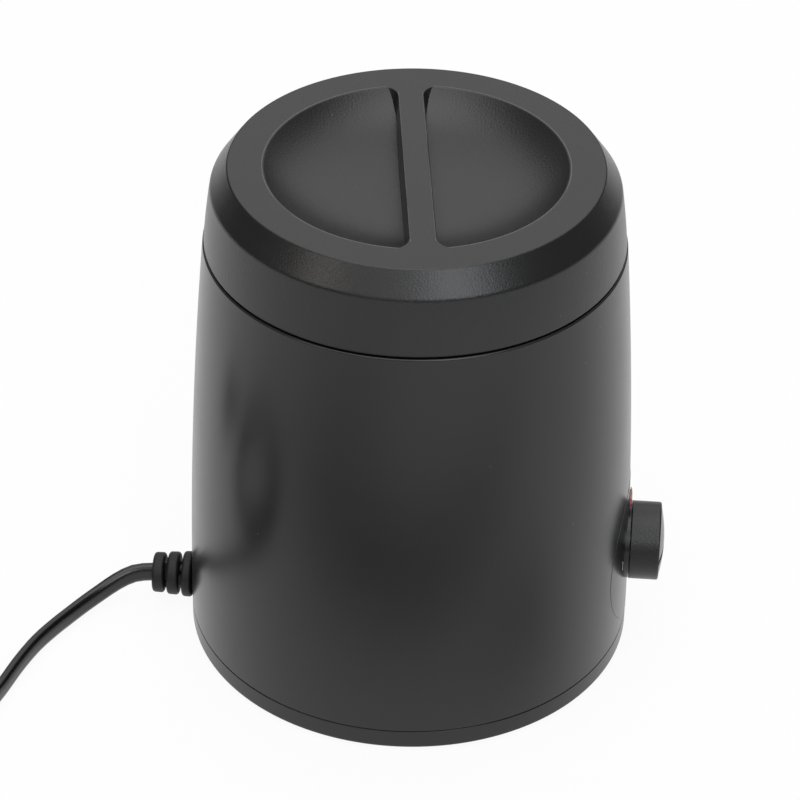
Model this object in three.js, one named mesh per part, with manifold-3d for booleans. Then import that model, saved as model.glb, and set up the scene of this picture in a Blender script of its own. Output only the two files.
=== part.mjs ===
// Wax heater: a black barrel with a lift-off lid, a lift-out pot, a heating
// chamber, a thermostat with its knob, a pilot lamp and a flat mains cord.
// Millimetres, +Z up. The origin is on the floor under the barrel's axis.
// The knob faces -Y and the cord leaves towards +Y.

import * as THREE from "three";
import { mergeVertices } from "three/addons/utils/BufferGeometryUtils.js";
import Module from "manifold-3d";

const wasm = await Module();
wasm.setup();

// Fits, shared by every piece
const fitGap = 0.3;
const overrun = 2;
const roundSegments = 48;
const smallSegments = 16;
const tinySegments = 8;
const bandSegments = 36;

// Barrel
const standOff = 1.5;
const baseRadius = 69;
const barrelBow = 1663;
const wall = 2.5;
const seamHeight = 7.8;
const rimHeight = 141.4;
const rimRound = 0.5;
const baseEdgeRound = 0.8;
const basePlate = 2.5;
const spigotHeight = 4.5;
const spigotWall = 1.8;

// Lid
const lidHeight = 25.5;
const lidTopInset = 7.6;
const lidChamferInset = 2.4;
const lidChamferDrop = 7.3;
const lidInset = 0.3;
const lidEdgeRound = 0.5;
const lidWall = 2.5;
const skirtDepth = 5;
const skirtWall = 1.8;
const skirtGap = 0.4;
const lidFlatWidth = 10.6;
const recessDepth = 9;
const recessRim = 0.5;
const barWidth = 7.8;
const barDraft = 0.9;
const barCorner = 4;
const barTurn = THREE.MathUtils.degToRad(7.1);

// Heating chamber and what is round it
const ledgeDrop = 11.4;
const ledgeThickness = 2.5;
const ledgeClearance = 1.7;
const flangeClearance = 0.5;
const chamberWall = 1.5;
const chamberClearance = 7.5;
const chamberBend = 4;
const flangeWidth = 8.6;
const flangeThickness = 1.5;
const bandThickness = 1.2;
const bandRise = 10;
const bandTopGap = 18;
const bandSlit = THREE.MathUtils.degToRad(3.5);
const lugLength = 7;
const lugThickness = 1.6;
const tabWidth = 6;
const tabThickness = 1.6;
const tabDrop = 4;
const tabAngles = [THREE.MathUtils.degToRad(68), THREE.MathUtils.degToRad(112)];
const feltThickness = 4.8;
const feltInset = 3;
const feltSlit = THREE.MathUtils.degToRad(11);

// Wax pot and its bail
const potClearance = 1;
const potWall = 1;
const potBend = 6;
const potLift = 0.8;
const potRimWidth = 4;
const potRimThickness = 1.5;
const earThickness = 1.5;
const earWidth = 9;
const earInset = 2.3;
const pivotRise = 3.9;
const bailWire = 1.5;
const bailInset = 3;
const bailEnd = 2;
const bailPlay = 0.7;

// Knob, dial and lamp
const dialHeight = 33.5;
const dialSeamGap = 1;
const dialProud = 0.3;
const dialThickness = 1.5;
const knobRadius = 12.25;
const knobGap = 0.3;
const knobLength = 9.2;
const knobDome = 1.4;
const knobEdge = 0.7;
const knobHollow = 4.7;
const knobWall = 2;
const pointerWidth = 1.8;
const pointerDepth = 1.6;
const pointerStart = 3;
const shaftRadius = 3;
const shaftFlat = 0.6;
const shaftLength = 27;
const bushWall = 1.4;
const bushReach = 3.5;
const nutThickness = 2.5;
const nutRadius = 8;
const thermostatRadius = 11;
const thermostatLength = 22;
const bossRadius = 12;
const bossReach = 3.6;
const lampRise = 16.5;
const lensRadius = 3.2;
const lensProud = 0.6;
const lensStem = 2.5;
const lensLength = 8;
const holderWall = 1.7;
const holderLength = 9;

// Strain relief
const cordExit = 8.5;
const reliefRadii = [7.35, 6.9, 6.4];
const reliefStarts = [0.3, 5, 9.7];
const reliefRings = [2.7, 2.7, 3.4];
const neckRadius = 4.5;
const anchorWidth = 13;
const anchorHeight = 8.4;
const anchorThickness = 2.2;
const anchorInset = 5.4;
const bridgeWidth = 3;

// Flat mains cord
const cordWide = 6.3;
const cordThick = 4;
const cordGap = 0.35;
const cordInset = 15;
const cordSides = 8;
const cordStep = 2;
const coilCentre = [-69, 168.2];
const coilRadius = 41;
const coilEntry = THREE.MathUtils.degToRad(-105);
const coilTurns = 4 + 11 / 24;
const coilPitch = 4.9;
const coilLayer = 7.2;
const coilDip = 4.6;
const climbTurn = 0.5;
const coilSides = 6;
const stepsPerTurn = 24;
const tailLength = 34;
const tieAngle = THREE.MathUtils.degToRad(-10);
const tieThickness = 0.8;
const tieWidth = 8;
const tieRound = 2.5;
const tieGap = 0.5;
const plugLength = 30;
const plugWidth = 26;
const plugThickness = 14;
const plugRound = 4;
const bootLength = 14;
const bootRadius = 5;
const pinRadius = 2;
const pinLength = 19;
const pinSpacing = 18.6;

// Screws, posts and feet
const screwRadius = 1.5;
const screwHead = 3;
const screwHeadHeight = 2;
const screwSlot = 0.8;
const baseScrewLength = 16;
const clampScrewLength = 9;
const flangeScrewLength = 8;
const lugScrewLength = 8;
const pillarRadius = 5;
const pillarInset = 8.5;
const pillarHeight = 26;
const pillarWeb = 2;
const pocketRoof = 2.4;
const postRadius = 3.2;
const footRadius = 7;
const footInset = 17;
const footHeight = 2.4;
const footRound = 0.6;
const ventSlots = 5;
const ventPitch = 6;
const ventWidth = 2.4;
const ventLength = 34;

// Terminal block, cord clamp and fuse
const blockSize = [22, 12, 11];
const coreRun = 23;
const blockStand = 4;
const blockHole = 1.6;
const blockPitch = 10;
const clampSize = [24, 5, 2.6];
const clampInset = 11;
const clampPostPlace = 9;
const fuseRadius = 2;
const fuseLength = 12;
const fuseLead = 0.6;
const fuseLeadLength = 6;
const strapThickness = 0.7;
const strapWidth = 8;
const strapLength = 22;
const studPlace = 7.4;
const studRadius = 1.5;
const studLength = 4.6;
const studNutRadius = 3.2;
const studNutThickness = 2.4;
const wireRadius = 0.9;

// Sizes that follow from the ones above
const barrelRadius = (z) => baseRadius - (z - standOff) ** 2 / (2 * barrelBow);
const barrelInside = (z) => barrelRadius(z) - wall;
const mouthRadius = barrelInside(rimHeight);
const lidBottom = rimHeight + fitGap;
const lidTopRadius = barrelRadius(rimHeight) - lidTopInset;
const lidChamferRadius = barrelRadius(rimHeight) - lidChamferInset;
const recessRadius = lidTopRadius - lidFlatWidth;
const skirtRadius = mouthRadius - skirtGap;
const plateTop = standOff + basePlate;
const footPlace = baseRadius - footInset;
const ledgeHeight = rimHeight - ledgeDrop;
const flangeBottom = ledgeHeight + fitGap;
const flangeTop = flangeBottom + flangeThickness;
const flangeRadius = mouthRadius - flangeClearance;
const chamberOuter = flangeRadius - flangeWidth;
const chamberRadius = chamberOuter - chamberWall;
const chamberFloor = dialHeight + thermostatRadius + chamberClearance;
const ledgeRadius = chamberOuter + ledgeClearance;
const flangeScrewPlace = ledgeRadius + screwHead + fitGap;
const bandInner = chamberOuter + fitGap;
const bandLow = chamberFloor + bandRise;
const bandHeight = ledgeHeight - bandTopGap - bandLow;
const bandOuter = bandInner + bandThickness;
const potOuter = chamberRadius - potClearance;
const bailRadius = potOuter - bailInset;
const potBottom = chamberFloor + chamberWall + potLift;
const potRimLow = flangeTop + fitGap;
const potRimTop = potRimLow + potRimThickness;
const pivotHeight = potRimTop + pivotRise;
const dialRadius = dialHeight - seamHeight - dialSeamGap;
const dialFace = barrelRadius(dialHeight) + dialProud;
const knobBack = dialFace + knobGap;
const bushRadius = shaftRadius + fitGap + bushWall;
const bossFace = barrelInside(dialHeight) - bossReach;
const lampHeight = dialHeight + lampRise;
const lampFace = barrelRadius(lampHeight) + dialProud;
const reliefRoot = barrelRadius(cordExit);
const reliefEnd = reliefRoot + reliefStarts[2] + reliefRings[2];
const cordStart = reliefRoot - cordInset;
const blockPlace = cordStart - coreRun;
const clampPlace = reliefRoot - clampInset;
const cordOnFloor = cordWide / 2 + fitGap / 2;
const coilLow = cordWide / 2 + tieThickness + fitGap + tieGap;
const pocketTop = plateTop + pocketRoof;
const pillarLow = seamHeight + spigotHeight + fitGap;
const pillarPlace = barrelInside(pillarLow) - pillarInset;
const blockBottom = plateTop + blockStand + fitGap;

// Solids from geometries, and back

function solid(geometry) {
  const plain = geometry.index ? geometry.toNonIndexed() : geometry.clone();
  plain.deleteAttribute("normal");
  plain.deleteAttribute("uv");
  const merged = mergeVertices(plain, 1e-4);
  const corners = Array.from(merged.index.array);
  const kept = [];
  for (let i = 0; i < corners.length; i += 3) {
    const [a, b, c] = corners.slice(i, i + 3);
    if (a !== b && b !== c && c !== a) kept.push(a, b, c);
  }
  return new wasm.Manifold(new wasm.Mesh({
    numProp: 3,
    vertProperties: new Float32Array(merged.attributes.position.array),
    triVerts: new Uint32Array(kept),
  }));
}

function geometryOf(shape) {
  const mesh = shape.getMesh();
  const geometry = new THREE.BufferGeometry();
  geometry.setAttribute("position", new THREE.BufferAttribute(mesh.vertProperties, 3));
  geometry.setIndex(new THREE.BufferAttribute(mesh.triVerts, 1));
  const flat = geometry.toNonIndexed();
  flat.computeVertexNormals();
  return flat;
}

const joined = (first, ...rest) => rest.reduce((sum, next) => sum.add(next), first);
const cutBy = (first, ...rest) => rest.reduce((left, next) => left.subtract(next), first);

// A solid of revolution about +Z: the profile's [radius, height] points run
// outwards along the underside and up along the outside
function turned(profile, segments = roundSegments) {
  const points = profile.map(([r, z]) => new THREE.Vector2(r, z));
  return solid(new THREE.LatheGeometry(points, segments).rotateX(Math.PI / 2));
}

// The same about -Y, with heights counted outwards from y = 0
function turnedToFront(profile, segments = smallSegments) {
  const points = profile.map(([r, z]) => new THREE.Vector2(r, z));
  return solid(new THREE.LatheGeometry(points, segments).rotateZ(Math.PI));
}

function box(width, depth, height, at) {
  return solid(new THREE.BoxGeometry(width, depth, height).translate(...at));
}

// An upright rod from low to high
function rod(radius, low, high, x = 0, y = 0, segments = smallSegments) {
  const shape = new THREE.CylinderGeometry(radius, radius, high - low, segments);
  return solid(shape.rotateX(Math.PI / 2).translate(x, y, (low + high) / 2));
}

// A rod along Y from near to far
function rodAlongY(radius, near, far, x, z, segments = smallSegments) {
  const shape = new THREE.CylinderGeometry(radius, radius, far - near, segments);
  return solid(shape.translate(x, (near + far) / 2, z));
}

function extruded(shape, depth, curveSegments = tinySegments) {
  return new THREE.ExtrudeGeometry(shape, { depth, curveSegments, bevelEnabled: false });
}

function polar(radius, angle) {
  return [radius * Math.cos(angle), radius * Math.sin(angle)];
}

// An oval of the cord's section, wide along the shape's x
function oval(halfWide, halfThick, sides) {
  const shape = new THREE.Shape();
  for (let i = 0; i < sides; i += 1) {
    const [x, y] = polar(1, (2 * Math.PI * i) / sides);
    if (i === 0) shape.moveTo(halfWide * x, halfThick * y);
    else shape.lineTo(halfWide * x, halfThick * y);
  }
  shape.closePath();
  return shape;
}

// A tube along a curve through the given points, its oval section's wide side
// upright where the curve starts
function tube(points, halfWide, halfThick, sides, steps) {
  const curve = new THREE.CatmullRomCurve3(points.map((p) => new THREE.Vector3(...p)));
  const upright = Math.abs(curve.computeFrenetFrames(steps, false).normals[0].z) > 0.5;
  const section = upright ? oval(halfWide, halfThick, sides) : oval(halfThick, halfWide, sides);
  const options = { extrudePath: curve, steps, bevelEnabled: false };
  return solid(new THREE.ExtrudeGeometry(section, options));
}

// A band that follows the barrel's side, between two offsets from it
function barrelBand(innerOffset, outerOffset, low, high) {
  const heightShares = [0, 0.25, 0.5, 0.75, 1];
  const heights = heightShares.map((share) => low + share * (high - low));
  const outside = heights.map((z) => [barrelRadius(z) + outerOffset, z]);
  const inside = heights.map((z) => [barrelRadius(z) + innerOffset, z]).reverse();
  return turned([...outside, ...inside, outside[0]]);
}

// Screw with its head down to z = 0 and its shank going up
function screw(length, headRadius = screwHead) {
  const headShares = [0.75, 1];
  const body = turned([
    [0, 0],
    [headShares[0] * headRadius, 0],
    [headShares[1] * headRadius, screwHeadHeight / 2],
    [headRadius, screwHeadHeight],
    [screwRadius, screwHeadHeight],
    [screwRadius, screwHeadHeight + length - screwRadius],
    [0, screwHeadHeight + length],
  ], tinySegments);
  return body.subtract(box(3 * headRadius, screwSlot, screwSlot, [0, 0, 0]));
}

// Barrel housing

function housingShell() {
  const low = seamHeight + fitGap;
  const outerShares = [0, 0.12, 0.25, 0.38, 0.5, 0.62, 0.75, 0.88];
  const outer = outerShares.map((share) => {
    const z = low + share * (rimHeight - low);
    return [barrelRadius(z), z];
  });
  const innerShares = [0.8, 0.6, 0.4, 0.2];
  const under = ledgeHeight - ledgeThickness;
  const inner = innerShares.map((share) => {
    const z = low + share * (under - low);
    return [barrelInside(z), z];
  });
  return turned([
    [barrelInside(low), low],
    ...outer,
    [barrelRadius(rimHeight - rimRound), rimHeight - rimRound],
    [barrelRadius(rimHeight) - rimRound, rimHeight],
    [mouthRadius, rimHeight],
    [barrelInside(ledgeHeight), ledgeHeight],
    [ledgeRadius, ledgeHeight],
    [ledgeRadius, under],
    [barrelInside(under), under],
    ...inner,
    [barrelInside(low), low],
  ]);
}

const pillarAngles = [45, 135, 225, 315].map(THREE.MathUtils.degToRad);
const flangeAngles = [30, 150, 270].map(THREE.MathUtils.degToRad);

function pillar(angle) {
  const [x, y] = polar(pillarPlace, angle);
  const length = barrelInside(pillarLow) + wall / 2 - pillarPlace;
  const web = box(length, pillarWeb, pillarHeight, [
    pillarPlace + length / 2, 0, pillarLow + pillarHeight / 2,
  ]).rotate([0, 0, THREE.MathUtils.radToDeg(angle)]);
  return rod(pillarRadius, pillarLow, pillarLow + pillarHeight, x, y).add(web);
}

function pillarBore(angle) {
  const [x, y] = polar(pillarPlace, angle);
  const high = pocketTop + baseScrewLength + overrun;
  return rod(screwRadius + fitGap, seamHeight - overrun, high, x, y, tinySegments);
}

function ledgeBoss(angle) {
  const [x, y] = polar(flangeScrewPlace, angle);
  const depth = flangeScrewLength + overrun;
  const [bx, by] = polar((flangeScrewPlace + barrelInside(ledgeHeight)) / 2, angle);
  const width = barrelInside(ledgeHeight) - flangeScrewPlace + wall;
  const low = ledgeHeight - ledgeThickness / 2;
  const web = solid(new THREE.BoxGeometry(width, pillarWeb, depth)
    .rotateZ(angle)
    .translate(bx, by, low - depth / 2));
  return rod(screwHead, low - depth, low, x, y, tinySegments).add(web);
}

function ledgeBore(angle) {
  const [x, y] = polar(flangeScrewPlace, angle);
  const high = ledgeHeight + overrun;
  const low = ledgeHeight - flangeScrewLength;
  return rod(screwRadius + fitGap, low, high, x, y, tinySegments);
}

function dialRecess() {
  const depth = dialThickness - dialProud + fitGap;
  const high = dialHeight + dialRadius + overrun;
  const low = dialHeight - dialRadius - overrun;
  const band = barrelBand(-depth, overrun, low, high);
  const round = rodAlongY(
    dialRadius + fitGap, -baseRadius - overrun, -baseRadius / 2, 0, dialHeight, roundSegments,
  );
  return band.intersect(round);
}

function shaftBoss() {
  const high = barrelInside(dialHeight) + wall / 2;
  const boss = rodAlongY(bossRadius, -high, -bossFace, 0, dialHeight, smallSegments);
  const trim = barrelBand(-baseRadius / 2, -wall / 2, dialHeight - 2 * bossRadius,
    dialHeight + 2 * bossRadius);
  return boss.intersect(trim);
}

function frontHole(radius, z) {
  return rodAlongY(radius, -baseRadius - overrun, -bossFace + overrun, 0, z);
}

function reliefNotch() {
  const near = reliefRoot - anchorInset;
  return rodAlongY(neckRadius + fitGap, near, reliefRoot + overrun, 0, cordExit);
}

function housing() {
  const shell = joined(
    housingShell(),
    ...pillarAngles.map(pillar),
    ...flangeAngles.map(ledgeBoss),
    shaftBoss(),
  );
  return cutBy(
    shell,
    ...pillarAngles.map(pillarBore),
    ...flangeAngles.map(ledgeBore),
    dialRecess(),
    frontHole(bushRadius + fitGap, dialHeight),
    frontHole(lensStem + fitGap, lampHeight),
    reliefNotch(),
  );
}

// Base cover with its spigot, bosses, posts and foot pockets

function baseShell() {
  const top = seamHeight;
  const spigot = barrelInside(seamHeight) - fitGap;
  return turned([
    [0, standOff],
    [baseRadius - baseEdgeRound, standOff],
    [baseRadius, standOff + baseEdgeRound],
    [barrelRadius(top), top],
    [spigot, top],
    [spigot, top + spigotHeight],
    [spigot - spigotWall, top + spigotHeight],
    [spigot - spigotWall, plateTop],
    [0, plateTop],
  ]);
}

function screwPocket(angle) {
  const [x, y] = polar(pillarPlace, angle);
  const head = rod(screwHead + fitGap, 0, pocketTop, x, y, smallSegments);
  const hole = rod(screwRadius + fitGap, 0, seamHeight + pillarHeight, x, y, tinySegments);
  return head.add(hole);
}

function pocketBoss(angle) {
  const [x, y] = polar(pillarPlace, angle);
  const low = standOff + basePlate / 2;
  return rod(pillarRadius, low, pillarLow - fitGap, x, y, smallSegments);
}

function footPocket(angle) {
  const [x, y] = polar(footPlace, angle);
  return rod(footRadius + fitGap, 0, footHeight + fitGap, x, y);
}

function vent(index) {
  const y = -(index + 1) * ventPitch;
  return box(ventLength, ventWidth, 2 * basePlate, [0, y, plateTop - basePlate / 2]);
}

const footAngles = [0, 90, 180, 270].map(THREE.MathUtils.degToRad);
const postTop = cordExit + cordWide / 2;

function clampPosts() {
  const low = standOff + basePlate / 2;
  const left = rod(postRadius, low, postTop, -clampPostPlace, clampPlace);
  const right = rod(postRadius, low, postTop, clampPostPlace, clampPlace);
  const saddleTop = cordExit - cordWide / 2 - fitGap;
  const saddle = box(cordThick + postRadius, clampSize[1], saddleTop - low, [
    0, clampPlace, (saddleTop + low) / 2,
  ]);
  return joined(left, right, saddle);
}

function postBore(x, y, high, length) {
  return rod(screwRadius + fitGap, high - length, high + overrun, x, y, tinySegments);
}

function baseCover() {
  const low = standOff + basePlate / 2;
  const blockPost = rod(postRadius, low, plateTop + blockStand, 0, blockPlace);
  const slot = box(anchorWidth + 2 * fitGap, anchorInset, seamHeight, [
    0, reliefRoot - anchorInset, plateTop + seamHeight / 2,
  ]);
  const shell = joined(baseShell(), ...pillarAngles.map(pocketBoss), clampPosts(), blockPost);
  const vents = Array.from({ length: ventSlots }, (_, index) => vent(index));
  return cutBy(
    shell,
    ...pillarAngles.map(screwPocket),
    ...footAngles.map(footPocket),
    ...vents,
    slot,
    reliefNotch(),
    postBore(-clampPostPlace, clampPlace, postTop, postTop - plateTop),
    postBore(clampPostPlace, clampPlace, postTop, postTop - plateTop),
    postBore(0, blockPlace, plateTop + blockStand, blockStand),
  );
}

function foot() {
  return turned([
    [0, 0],
    [footRadius - footRound, 0],
    [footRadius, footRound],
    [footRadius, footHeight],
    [0, footHeight],
  ], smallSegments);
}

// Lid: a hollow cap with a dished recess that a grip bar crosses

const dish = (r) => lidHeight - recessDepth * (1 - (r / recessRadius) ** 4);

function lidShell() {
  const dishShares = [0.97, 0.9, 0.82, 0.72, 0.6, 0.45, 0.25];
  const top = dishShares.map((share) => {
    const r = share * recessRadius;
    return [r, dish(r)];
  });
  const under = top.filter((point, index) => index % 2 === 1).reverse()
    .map(([r, z]) => [r, z - lidWall]);
  const chamferHeight = lidHeight - lidChamferDrop;
  const rimRadius = barrelRadius(rimHeight) - lidInset;
  const inner = skirtRadius - skirtWall;
  return turned([
    [0, dish(0) - lidWall],
    ...under,
    [recessRadius + lidWall / 2, lidHeight - lidWall],
    [lidTopRadius - lidWall / 2, lidHeight - lidWall],
    [inner, chamferHeight],
    [inner, -skirtDepth],
    [skirtRadius, -skirtDepth],
    [skirtRadius, 0],
    [rimRadius - lidEdgeRound, 0],
    [rimRadius, lidEdgeRound],
    [(rimRadius + lidChamferRadius) / 2 + lidInset / 2, chamferHeight / 2],
    [lidChamferRadius, chamferHeight],
    [lidTopRadius + lidEdgeRound, lidHeight - lidEdgeRound],
    [lidTopRadius - lidEdgeRound, lidHeight],
    [recessRadius + recessRim, lidHeight],
    [recessRadius, lidHeight - recessRim / 2],
    ...top,
    [0, dish(0)],
  ]);
}

// The bar across the dish, with drafted sides and ends that widen to the rim
function gripBar() {
  const half = barWidth / 2;
  const reach = recessRadius + recessRim;
  const shape = new THREE.Shape();
  const corners = [[1, 1], [-1, 1], [-1, -1], [1, -1]];
  const flare = barCorner * (1 - Math.SQRT1_2);
  const inset = recessRadius - barCorner;
  corners.forEach(([sx, sy], index) => {
    const outer = [sx * reach, sy * (half + barCorner)];
    const middle = [sx * (inset + barCorner * Math.SQRT1_2), sy * (half + flare)];
    const inner = [sx * inset, sy * half];
    const run = index % 2 === 0 ? [outer, middle, inner] : [inner, middle, outer];
    run.forEach(([x, y], step) => {
      if (index === 0 && step === 0) shape.moveTo(x, y);
      else shape.lineTo(x, y);
    });
  });
  shape.closePath();
  const height = recessDepth + lidWall / 2;
  const bar = extruded(shape, height);
  const positions = bar.attributes.position;
  for (let i = 0; i < positions.count; i += 1) {
    const depth = height - positions.getZ(i);
    const spread = Math.sign(positions.getY(i)) * barDraft * (depth / height);
    positions.setY(i, positions.getY(i) + spread);
  }
  const placed = solid(bar.translate(0, 0, lidHeight - height));
  const limit = rod(recessRadius + recessRim, 0, lidHeight, 0, 0, roundSegments);
  return placed.intersect(limit);
}

function lid() {
  return lidShell().add(gripBar());
}

// Heating chamber: a spun cup that hangs by its flange on the housing's ledge

function heatingChamber() {
  const floorTop = chamberFloor + chamberWall;
  const cup = turned([
    [0, chamberFloor],
    [chamberOuter - chamberBend, chamberFloor],
    [chamberOuter, chamberFloor + chamberBend],
    [chamberOuter, flangeBottom],
    [flangeRadius, flangeBottom],
    [flangeRadius, flangeTop],
    [chamberRadius, flangeTop],
    [chamberRadius, floorTop + chamberBend],
    [chamberRadius - chamberBend, floorTop],
    [0, floorTop],
  ]);
  const studs = [-studPlace, studPlace].map((y) => rod(
    studRadius, chamberFloor - studLength, chamberFloor + chamberWall / 2, 0, y, tinySegments,
  ));
  const holes = flangeAngles.map((angle) => {
    const [x, y] = polar(flangeScrewPlace, angle);
    return rod(screwRadius + fitGap, ledgeHeight, flangeTop + overrun, x, y, tinySegments);
  });
  return cutBy(joined(cup, ...studs), ...holes);
}

// A ring split at -X, between two radii, with its slit's half angle
function splitRing(inner, outer, slit) {
  const shape = new THREE.Shape();
  const from = -Math.PI + slit;
  const to = Math.PI - slit;
  shape.absarc(0, 0, outer, from, to, false);
  shape.absarc(0, 0, inner, to, from, true);
  shape.closePath();
  return shape;
}

function heaterBand() {
  const ring = solid(extruded(splitRing(bandInner, bandOuter, bandSlit), bandHeight,
    bandSegments));
  const lugs = [-1, 1].map((side) => {
    const edge = bandInner * Math.sin(bandSlit) + lugThickness / 2;
    const lug = box(lugLength + bandThickness, lugThickness, bandHeight, [
      -bandInner - (lugLength + bandThickness) / 2, side * edge, bandHeight / 2,
    ]);
    const holes = lugHeights.map((z) => rodAlongY(
      screwRadius + fitGap, -bandInner / 2, bandInner / 2, -lugScrewPlace, z, tinySegments,
    ));
    return cutBy(lug, ...holes);
  });
  const tabs = tabAngles.map((angle) => solid(
    new THREE.BoxGeometry(tabThickness, tabWidth, tabDrop + feltInset / 2)
      .translate(bandInner + tabThickness / 2, 0, (feltInset / 2 - tabDrop) / 2)
      .rotateZ(angle),
  ));
  return joined(ring, ...lugs, ...tabs);
}

const lugHeightShares = [0.2, 0.8];
const lugHeights = lugHeightShares.map((share) => share * bandHeight);
const lugScrewPlace = bandOuter + lugLength / 2;

function insulation() {
  const inner = bandOuter + fitGap;
  const ring = splitRing(inner, inner + feltThickness, feltSlit);
  return solid(extruded(ring, bandHeight - 2 * feltInset, bandSegments));
}

// Wax pot with a rim, two ears and a wire bail

function waxPot() {
  const inner = potOuter - potWall;
  const cup = turned([
    [0, potBottom],
    [potOuter - potBend, potBottom],
    [potOuter - potBend * (1 - Math.SQRT1_2), potBottom + potBend * (1 - Math.SQRT1_2)],
    [potOuter, potBottom + potBend],
    [potOuter, potRimLow],
    [potOuter + potRimWidth, potRimLow],
    [potOuter + potRimWidth, potRimTop],
    [inner, potRimTop],
    [inner, potBottom + potBend],
    [inner - (potBend - potWall) * (1 - Math.SQRT1_2),
      potBottom + potWall + (potBend - potWall) * (1 - Math.SQRT1_2)],
    [inner - potBend + potWall, potBottom + potWall],
    [0, potBottom + potWall],
  ]);
  const ears = [-1, 1].map((side) => {
    const x = side * (potOuter + earInset);
    const height = pivotRise + potRimThickness / 2;
    const plate = box(earThickness, earWidth, height, [x, 0, pivotHeight - height / 2]);
    const top = solid(new THREE.CylinderGeometry(earWidth / 2, earWidth / 2, earThickness,
      smallSegments).rotateZ(Math.PI / 2).translate(x, 0, pivotHeight));
    return plate.add(top);
  });
  const holeRadius = bailWire + bailPlay;
  const hole = solid(new THREE.CylinderGeometry(holeRadius, holeRadius,
    2 * (potOuter + potRimWidth), tinySegments).rotateZ(Math.PI / 2)
    .translate(0, 0, pivotHeight));
  return cutBy(joined(cup, ...ears), hole);
}

// The bail's own frame has its pivot line on the X axis
function bail() {
  const tip = potOuter + earInset + earThickness / 2 + bailEnd;
  const arcShares = [0.12, 0.2, 0.3, 0.4, 0.5, 0.6, 0.7, 0.8, 0.88];
  const arc = arcShares.map((share) => {
    const [x, y] = polar(bailRadius, share * Math.PI);
    return [x, y, 0];
  });
  const shoulder = bailRadius + bailWire;
  const points = [
    [tip, 0, 0],
    [shoulder + bailEnd, 0, 0],
    [shoulder, bailWire, 0],
    ...arc,
    [-shoulder, bailWire, 0],
    [-shoulder - bailEnd, 0, 0],
    [-tip, 0, 0],
  ];
  return tube(points, bailWire, bailWire, cordSides, roundSegments / 2);
}

// Knob, pointer and shaft, in a frame on the knob's axis

function knob() {
  const holeEnd = knobLength - knobDome / 2;
  const domeShares = [0.75, 0.5, 0.25];
  const crown = knobRadius - knobEdge;
  const dome = domeShares.map((share) => [
    share * crown, knobLength + knobDome * (1 - share ** 2),
  ]);
  const body = turnedToFront([
    [0, holeEnd],
    [shaftRadius + fitGap, holeEnd],
    [shaftRadius + fitGap, knobHollow],
    [knobRadius - knobWall, knobHollow],
    [knobRadius - knobWall, 0],
    [knobRadius - knobEdge / 2, 0],
    [knobRadius, knobEdge / 2],
    [knobRadius, knobLength - knobEdge],
    [crown, knobLength],
    ...dome,
    [0, knobLength + knobDome],
  ], roundSegments / 2);
  const floor = knobLength + knobDome - pointerDepth;
  const groove = box(2 * knobRadius, 2 * pointerDepth, pointerWidth, [
    -knobRadius - pointerStart, -floor - pointerDepth, 0,
  ]);
  return body.subtract(groove);
}

function knobPointer() {
  const length = knobRadius - knobEdge - pointerStart - 2 * fitGap;
  const height = pointerDepth / 3;
  const floor = knobLength + knobDome - pointerDepth;
  return box(length, height, pointerWidth - 2 * fitGap, [
    -pointerStart - fitGap - length / 2, -floor - fitGap - height / 2, 0,
  ]);
}

function shaft() {
  const round = rodAlongY(shaftRadius, -shaftLength, 0, 0, 0);
  const flat = box(2 * shaftRadius, knobLength, shaftRadius, [
    0, -shaftLength + knobLength / 2, 1.5 * shaftRadius - shaftFlat,
  ]);
  return round.subtract(flat);
}

// Dial plate, thermostat, nut and pilot lamp

function dialPlate() {
  const high = dialHeight + dialRadius + overrun;
  const low = dialHeight - dialRadius - overrun;
  const band = barrelBand(dialProud - dialThickness, dialProud, low, high);
  const round = rodAlongY(
    dialRadius, -baseRadius - overrun, -baseRadius / 2, 0, dialHeight, roundSegments,
  );
  return cutBy(
    band.intersect(round),
    frontHole(bushRadius + fitGap, dialHeight),
    frontHole(lensRadius + fitGap, lampHeight),
  );
}

function thermostat() {
  const bore = shaftRadius + fitGap;
  const front = bossFace - fitGap;
  const back = front - thermostatLength;
  const bushEnd = dialFace + bushReach;
  return turnedToFront([
    [bore, back],
    [thermostatRadius, back],
    [thermostatRadius, front],
    [bushRadius, front],
    [bushRadius, bushEnd],
    [bore, bushEnd],
    [bore, back],
  ]);
}

function hexNut(radius, bore, thickness) {
  const body = new THREE.CylinderGeometry(radius, radius, thickness, 6);
  const hole = new THREE.CylinderGeometry(bore, bore, thickness + overrun, smallSegments);
  return solid(body).subtract(solid(hole));
}

function indicatorLens() {
  const shoulder = lampFace - dialProud / 2;
  const domeShares = [0.8, 0.5];
  const dome = domeShares.map((share) => [
    share * lensRadius, lampFace + lensProud * Math.sqrt(1 - share ** 2),
  ]);
  return turnedToFront([
    [0, lampFace - lensLength],
    [lensStem, lampFace - lensLength],
    [lensStem, shoulder],
    [lensRadius, shoulder],
    [lensRadius, lampFace],
    ...dome,
    [0, lampFace + lensProud],
  ]);
}

function lampHolder() {
  const front = barrelInside(lampHeight) - 2 * fitGap;
  const back = front - holderLength;
  const outer = lensStem + fitGap + holderWall;
  return turnedToFront([
    [0, back],
    [outer, back],
    [outer, front],
    [lensStem + fitGap, front],
    [lensStem + fitGap, lampFace - lensLength - fitGap],
    [0, lampFace - lensLength - fitGap],
  ]);
}

// Strain relief: an anchor plate, a neck and three rings joined by bridges

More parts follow.
